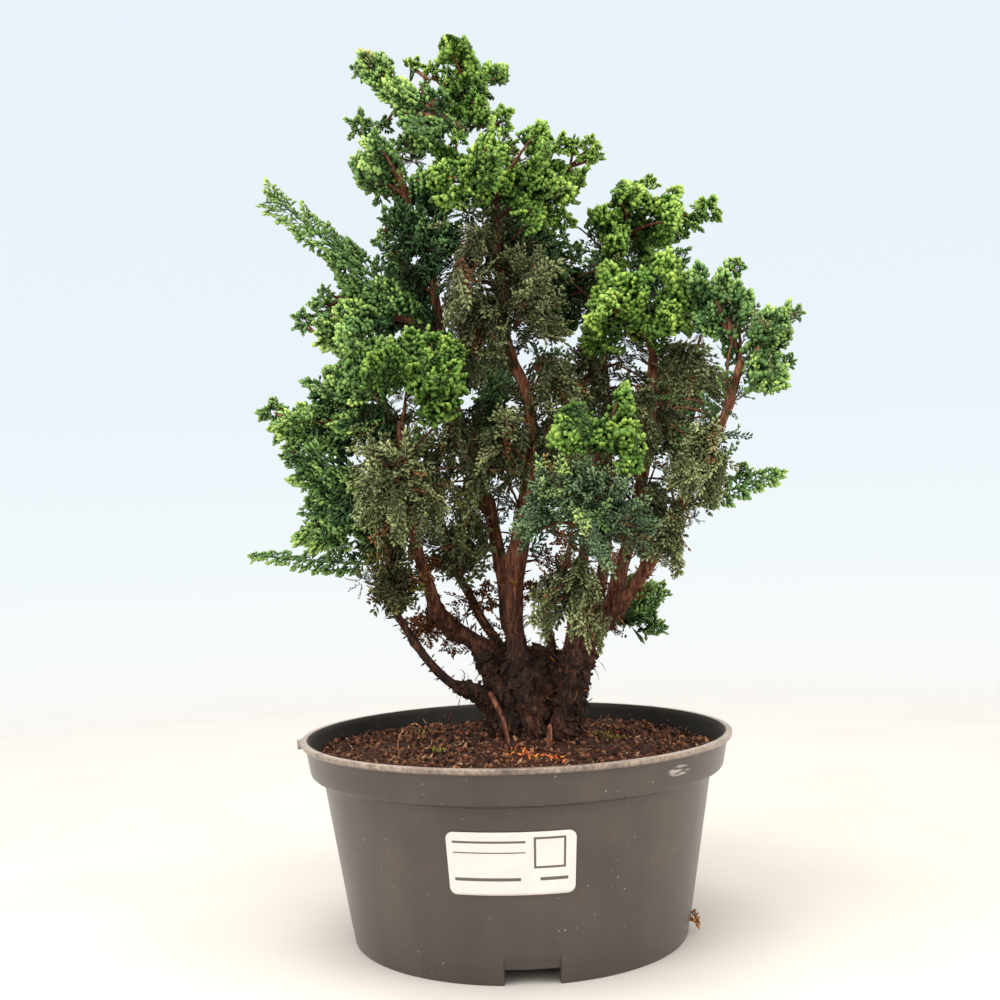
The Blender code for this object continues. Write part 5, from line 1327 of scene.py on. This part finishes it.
twig_paths = inner_twigs(TWIGS)
twigs = loft(twig_paths, rng.uniform(0.5, 0.9, (TWIGS, 1)) * np.linspace(1.0, 0.5, TWIG_STEPS - 1)[None],
             unit(rng.normal(size=(TWIGS, 3))), 4)
steps = np.diff(twig_paths, axis=1)
feet = (twig_paths[:, 1:] - steps * rng.uniform(0, 0.6, (TWIGS, TWIG_STEPS, 1))).reshape(-1, 3)
along_twig = unit(steps).reshape(-1, 3)
ways = unit(0.75 * along_twig + unit(rng.normal(size=along_twig.shape)) + 0.15 * UP)
higher = (wood_points[leafy, 2] - LEAFY_FROM_Z) / (LEAFY_TO_Z - LEAFY_FROM_Z) + 0.15
sheath_at = rng.choice(leafy, SHEATH, p=higher / higher.sum())
off_stem = off_the_wood(sheath_at, ring_ways)
feet = np.concatenate([feet, wood_points[sheath_at] + off_stem * wood_radii[sheath_at, None] * 0.8])
sheath_ways = unit(off_stem + 0.7 * ring_ways[sheath_at] + 0.2 * rng.normal(size=(SHEATH, 3)))
ways = np.concatenate([ways, sheath_ways])
# Only a twig's feather needs to be shaded; those on the stems stay in any light.
most_light = np.repeat([INNER_LIGHT, np.inf], [TWIG_STEPS * TWIGS, SHEATH])
shaded = openness(feet, 0 * feet) < most_light
feet, ways = feet[shaded], ways[shaded]
inner_count = len(feet)
sizes = TWIG_FEATHER * rng.uniform(0.6, 1.15, inner_count)
sizes = np.where(feet[:, 2] < DEAD_BELOW, 0.62, 1.0) * sizes
looks = unit(feet - CROWN_MIDDLE) + 0.5 * UP + 0.5 * rng.normal(size=feet.shape)
outer = np.linalg.norm((feet - CROWN_MIDDLE) / CROWN_SIZE, axis=1)
# Feathers deep in the crown are painted darker, which is painted shade as well as older growth.
fresh_and_lit = (0.28 + 0.45 * outer + 0.12 * rng.normal(size=inner_count)).clip(0.25, 0.95)
is_dead = feet[:, 2] + 9 * rng.normal(size=inner_count) < DEAD_BELOW
is_green = ~is_dead & (bumps(feet, 30.0, 9) > 0.25)
for name, chosen, finish, slot in (("inner_dead", is_dead, DEAD, "olive_foliage"),
                                   ("inner_green", is_green, GREEN, "green_foliage"),
                                   ("inner_olive", ~is_dead & ~is_green, OLIVE, "olive_foliage")):
    count = int(chosen.sum())
    leaf_points, leaf_faces, leaf_fresh_and_lit = sprays("feather", feet[chosen], ways[chosen], looks[chosen],
                                                 sizes[chosen], 0.15, 0.12, fresh_and_lit[chosen], rng)
    piece(name, slot, [finish], leaf_points, leaf_faces,
          marks={"fresh_and_lit": leaf_fresh_and_lit, "luck": spread(rng.uniform(-1, 0.88, count), leaf_points)})
    print(name, count, "feathers,", len(leaf_faces), "triangles")


def twig_piece(name, points, faces):
    """A piece of lofted twigs in fairly clean bark."""
    points = points.reshape(-1, 3)
    piece(name, "bark", [bark], points, faces,
          marks={"clean": np.full(len(points), 0.7), "luck": np.zeros(len(points))})


twig_piece("inner_twigs", *twigs)

# %% [markdown]
# Here and there a single tuft stands between the boughs: a young rosette at the rim of the crown, an olive
# one deep inside, a dead rusty one low down, and a few old ones that turn yellow. Each is a ball of sprays
# round its own centre, on a twig that comes from the nearest bough or stem.

# %% Tufts between the boughs
# Each kind's habit, plan, finish and freshness, and its tufts: x, y, z and width in millimetres.
TUFTS = {
    "green": (TIP, "hand", GREEN, 0.95, [
        (-42, 4, 352, 5.0), (-62, -4, 361, 4.6), (-52, -2, 361, 3.2), (31, 6, 328, 3.7), (34, 16, 305, 3.2),
        (-89, -6, 273, 3.7), (-81, -4, 279, 4.1), (-104, -6, 233, 4.2), (-99, -8, 225, 4.4),
        (-95, -8, 213, 3.6), (100, -20, 250, 3.2), (121, -28, 246, 2.4), (-74, -12, 173, 3.7),
        (-61, -4, 386, 3.2), (65, 8, 131, 3.2),
        (-53, -8, 308, 3.1), (-53, -8, 328, 3.0), (-79, -9, 285, 2.5), (124, -36, 265, 2.3),
        (103, -18, 200, 2.5)]),
    "bright": (CLUMP, "hand", BRIGHT, 1.0, [
        (41, -2, 349, 3.2), (95, 10, 321, 4.6), (88, 10, 316, 3.9), (82, 10, 310, 2.8), (1, 4, 364, 4.6),
        (4, 2, 350, 3.7), (-38, 2, 389, 3.2), (-30, 4, 387, 3.5), (-22, 2, 385, 2.8), (63, 10, 332, 3.2),
        (69, 10, 334, 2.8), (29, -2, 349, 4.1), (43, -2, 344, 2.9), (39, -2, 343, 2.6), (28, 2, 317, 4.0),
        (-18, -6, 353, 2.8), (101, -24, 288, 2.8), (34, -2, 350, 2.8), (68, 2, 261, 4.1),
        (63, 2, 265, 3.7)]),
    "olive": (DRAPE, "feather", OLIVE, 0.70, [
        (82, -8, 234, 4.6), (86, -12, 222, 3.7), (72, -6, 246, 3.7), (-45, -16, 212, 4.1),
        (-65, -16, 157, 4.1), (-46, 6, 239, 4.1), (62, 22, 258, 4.6), (56, 22, 246, 3.7), (-4, 14, 193, 4.1),
        (89, 0, 264, 3.2), (9, 8, 262, 4.6), (-14, 0, 320, 4.6), (-7, -8, 309, 4.1),
        (-39, 2, 346, 3.2), (55, 14, 254, 3.2), (56, 14, 264, 2.8), (-1, 10, 188, 3.2), (81, -10, 180, 2.6),
        (-36, -8, 173, 3.2), (93, -26, 227, 3.9), (90, -24, 215, 3.9), (96, -28, 236, 3.2)]),
    "dead": (CLUMP, "fan", DEAD, 0.70, [
        (-25, 8, 171, 5.5), (-19, 4, 192, 5.0), (15, 10, 149, 5.5), (24, 6, 158, 5.0), (-14, 12, 145, 5.5),
        (-40, -8, 164, 5.0), (-40, 6, 135, 5.5), (-49, -12, 152, 5.0),
        (25, 4, 173, 4.3), (14, 8, 164, 3.8), (-40, 4, 132, 4.1), (-36, 4, 134, 3.8), (-28, 2, 127, 3.5)]),
    "yellowing": (DRAPE, "feather", YELLOW, 0.90, [
        (-25, -34, 193, 4.1), (-2, -34, 203, 3.2), (56, -40, 203, 2.8)])}
TUFT_SPRAYS, TUFT_SPRAY_SIZE = 11, 1.9
# Directions spread evenly over a ball: each stands a step lower and a golden angle further round.
heights = 1 - 2 * (np.arange(TUFT_SPRAYS) + 0.5) / TUFT_SPRAYS
round_ways = turned(np.sqrt(1 - heights ** 2), np.arange(TUFT_SPRAYS) * np.pi * (3 - 5 ** 0.5), heights)
tuft_twigs = []
rng = np.random.default_rng(88)
for name, (habit, plan, finish, freshest, spots) in TUFTS.items():
    spots = np.array(spots, dtype=float)
    middles, widths = np.repeat(spots[:, :3], TUFT_SPRAYS, axis=0), np.repeat(spots[:, 3], TUFT_SPRAYS)
    ways = unit(np.tile(round_ways, (len(spots), 1)) + 0.3 * rng.normal(size=middles.shape) + 0.2 * UP)
    count = len(middles)
    fresh_and_lit = (freshest - 0.25 * rng.random(count)).clip(0.2, 1)
    leaf_points, leaf_faces, leaf_fresh_and_lit = sprays(
        plan, middles + ways * 0.15 * widths[:, None], ways, unit(rng.normal(size=ways.shape)),
        TUFT_SPRAY_SIZE * widths, habit["cup"], habit["droop"], fresh_and_lit, rng)
    piece(name + "_tufts", habit["slot"], [finish], leaf_points, leaf_faces,
          marks={"fresh_and_lit": leaf_fresh_and_lit, "luck": spread(rng.uniform(-1, 0.8, count), leaf_points)})
    for spot in spots[:, :3]:
        near = anywhere[np.linalg.norm(anywhere - spot, axis=1).argmin()]
        start = near + unit(near - spot) * 3
        t = np.linspace(0, 1, 5)[:, None]
        tuft_twigs.append(start + (spot - start) * t + UP * (t - t * t) * -2)
    print(name, "tufts", len(spots))
twig_piece("tuft_twigs", *loft(np.array(tuft_twigs), np.full((len(tuft_twigs), 3), 0.7),
                               unit(rng.normal(size=(len(tuft_twigs), 3))), 4))

# %% [markdown]
# Three young leading shoots stand out past the rest: straight, flat, and set with side sprays alternately
# left and right, like a fern frond. Each is grown along its solid's own axis. The side sprays are the same
# fans and hands as elsewhere, longest near the middle and freshest towards the tip.

# %% The three long leading shoots
FROND_LOOKS = np.array([0.25, -0.75, 0.6])
SIDE_SPACING, SIDE_ANGLE, RIB_ROWS, RIB_SHARE, SAG = 3.5, 54.0, 16, 0.90, 0.035


def frond(node, plan, side_size, rng):
    """A leading shoot: a rib from the solid's foot almost to its tip, and side sprays at the side angle.

    The rib runs along foot + RIB_SHARE * long * t * axis + SAG * long * (t^2 - t) * face.
    """
    points, _ = skins[node]
    foot = bough_foot(points)
    tip = points[np.linalg.norm(points - foot, axis=1).argmax()]
    long = np.linalg.norm(tip - foot)
    axis = unit(tip - foot)
    side = unit(np.cross(axis, FROND_LOOKS))
    face = np.cross(side, axis)
    t = np.linspace(0, 1, RIB_ROWS)[:, None]
    sag = SAG * long * (t * t - t)
    spine = foot + axis * long * t * RIB_SHARE + face * sag
    rib_points, rib_faces = loft(spine[None], np.linspace(0.8, 0.4, RIB_ROWS - 2)[None], face[None], 6)
    rib_points = rib_points.reshape(-1, 3)
    count = int(long / SIDE_SPACING)
    share = (np.arange(count) + 0.6) / count
    swing = np.where(np.arange(count) % 2 == 0, 1.0, -1.0)
    feet = np.stack([np.interp(share, t[:, 0], spine[:, i]) for i in range(3)], axis=1)
    angle = np.radians(SIDE_ANGLE + rng.normal(0, 6, count)) * (1 - 0.5 * share)
    ways = axis * np.cos(angle)[:, None] + side * (np.sin(angle) * swing)[:, None]
    ways = ways + face * rng.normal(0.05, 0.16, (count, 1))
    sizes = side_size * (0.76 + 0.42 * np.sin(np.pi * np.clip(share * 0.9 + 0.12, 0, 1)))
    sizes = sizes * rng.uniform(0.88, 1.1, count)
    fresh_and_lit = 0.66 + 0.40 * share
    ends = sprays("hand", spine[-2:], np.tile(axis, (2, 1)), np.tile(face, (2, 1)), np.array([8.0, 6.5]),
                  0.2, 0.1, np.array([1.0, 1.05]), rng)
    leaves = sprays(plan, feet, ways, np.tile(face, (count, 1)) + rng.normal(0, 0.2, (count, 3)), sizes, 0.25,
                    0.12, fresh_and_lit, rng)
    all_points, all_faces = joined((rib_points, rib_faces), leaves[:2], ends[:2])
    luck = spread(rng.uniform(-0.5, 0.7, count), leaves[0])
    marks = {"fresh_and_lit": np.concatenate([np.full(len(rib_points), 0.40), leaves[2], ends[2]]),
             "luck": np.concatenate([np.zeros(len(rib_points)), luck, np.zeros(len(ends[0]))])}
    piece(node + "_sprays", "green_foliage", [GREEN], all_points, all_faces, marks=marks, replaces=[node])
    return len(all_faces)


for number, (node, plan, side_size) in enumerate((("frond_long_left", "fan", 16.0),
                                                  ("frond_low_left", "hand", 9.0),
                                                  ("frond_right", "hand", 10.0))):
    print(node, frond(node, plan, side_size, np.random.default_rng(900 + number)), "triangles")

# %% [markdown]
# A pot that has stood in a nursery carries small things that are not the tree: a cut twig end stuck in the
# soil, a root that slants into it, orange needles, a little moss, a thin curled fibre. Most have a place in
# the photograph, and each rests on the soil's own height there, so that it also sits right from the side.
# One dry sprig lies outside, against the pot's foot.

# %% What lies on the soil
STICKS = 26
rng = np.random.default_rng(77)


def on_soil(x, y, lift=0.0):
    """A point on the soil's surface, or a little above it."""
    return np.array([x, y, soil_height(np.array([float(x)]), np.array([float(y)]))[0] + lift])


def rod(points, radius, sides=8, taper=1.0):
    """A thin rod along a smooth curve through points, radius at its foot and taper times that at its end."""
    route = smooth_route(points, 1.2)
    rings = len(route) - 2
    width = np.linspace(radius, radius * taper, rings) * rng.uniform(0.92, 1.08, rings)
    made, faces = loft(route[None], width[None], np.array([[0.3, -0.8, 0.5]]), sides)
    return made.reshape(-1, 3), faces


twig_end = rod([on_soil(14, -34, -3), on_soil(14, -34, 3), on_soil(14.3, -34.4, 10.5)], 1.25, taper=0.95)
slanting_root = rod([(-11, -20, 108), (-8, -22, 102), (-5, -25, 95), on_soil(-3, -27, -1.5)], 1.2, taper=0.8)
curled = rod([on_soil(-52, -12, -0.5), on_soil(-51, -10, 7), on_soil(-45, -8, 12), on_soil(-41, -8, 9)],
             0.35, sides=5)
loose_sticks = fibres(scattered(STICKS) + UP * 0.8, flatter(STICKS, 0.5), rng.uniform(6, 15, STICKS),
                      rng.uniform(0.35, 0.6, STICKS), curl=0.12, sides=5)
sticks = [twig_end, slanting_root, curled, loose_sticks]
stick_points, stick_faces = joined(*sticks)
stick_marks = {key: np.repeat(levels, [len(points) for points, _ in sticks])
               for key, levels in (("clean", (0.62, 0.40, 0.8, 0.45)), ("luck", (0.5, 0.35, 0.8, 0.6)))}
piece("loose_twigs", "bark", [bark], stick_points, stick_faces, marks=stick_marks)


def matt_finish(name, roughness, stops, patch_mm, grain_mm, depth_mm):
    """A dry finish: colours in patches patch_mm wide, over a grain grain_mm wide and depth_mm deep."""
    made, tree, shader = finish_named(name, IOR=1.4, Roughness=roughness)
    dressed(tree, shader, add(tree, "ValToRGB", [noise_of(tree, patch_mm)], stops=stops),
            (noise_of(tree, grain_mm), depth_mm))
    return made


# Fallen scale sprays turn orange before they go brown, dry and matt.
needle = matt_finish("fallen_orange_scales", 0.7, ((0.32, "#8f3a14"), (0.5, "#d0662a"), (0.68, "#d9a052")),
                     1.5, 0.6, 0.2)
# Cushion moss, a green fuzz of short shoots: matt, yellow green at the tips.
moss = matt_finish("cushion_moss", 0.8, ((0.30, "#3f4a16"), (0.5, "#7c7c22"), (0.70, "#b3a83c")),
                   1.2, 0.5, 0.3)

# Where they lie: x, y and width in millimetres, and how many.
NEEDLE_SPOTS = ((2, -41, 4.5, 26), (9, -43, 3.5, 18), (16, -46, 3.0, 12), (-30, 20, 3, 8), (44, 22, 3, 8))
MOSS_SPOTS = ((40, 8, 6.0, 60), (46, 2, 4.0, 30), (66, -34, 2.5, 14), (-34, -20, 3, 16), (30, -44, 3, 10),
              (52, 40, 4, 24), (-42, 38, 5, 26))


def litter_spots(spots, low, high, tilt):
    """Short shoots round each (x, y, width, count) spot, lying on the soil or standing up from it."""
    x, y = np.concatenate([[rng.normal(x, wide * 0.6, n), rng.normal(y, wide * 0.6, n)]
                           for x, y, wide, n in spots], axis=1)
    starts = np.stack([x, y, soil_height(x, y) + 0.3], axis=-1)
    count = len(starts)
    return fibres(starts, flatter(count, tilt), rng.uniform(low, high, count),
                  rng.uniform(0.3, 0.6, count), curl=0.2, sides=4)


piece("fallen_scales", "soil", [needle], *litter_spots(NEEDLE_SPOTS, 1.8, 4.2, 0.4))
piece("moss", "soil", [moss], *litter_spots(MOSS_SPOTS, 1.2, 2.6, 1.6))
foot_sprig = sprays("fan", np.array([(71.5, -14, 10), (72.0, -11, 8)]),
                    np.array([(0.8, -0.5, -0.6), (0.9, -0.1, -0.5)]),
                    np.array([(1.0, -1, 0.3), (1, -1, 0.5)]), np.array([9.5, 8.0]), 0.6, 0.3,
                    np.array([0.9, 0.8]), rng)
piece("sprig_at_the_foot", "olive_foliage", [DEAD], *foot_sprig[:2],
      marks={"fresh_and_lit": foot_sprig[2], "luck": np.zeros(len(foot_sprig[0]))})
print("loose twigs", len(stick_faces), "triangles")
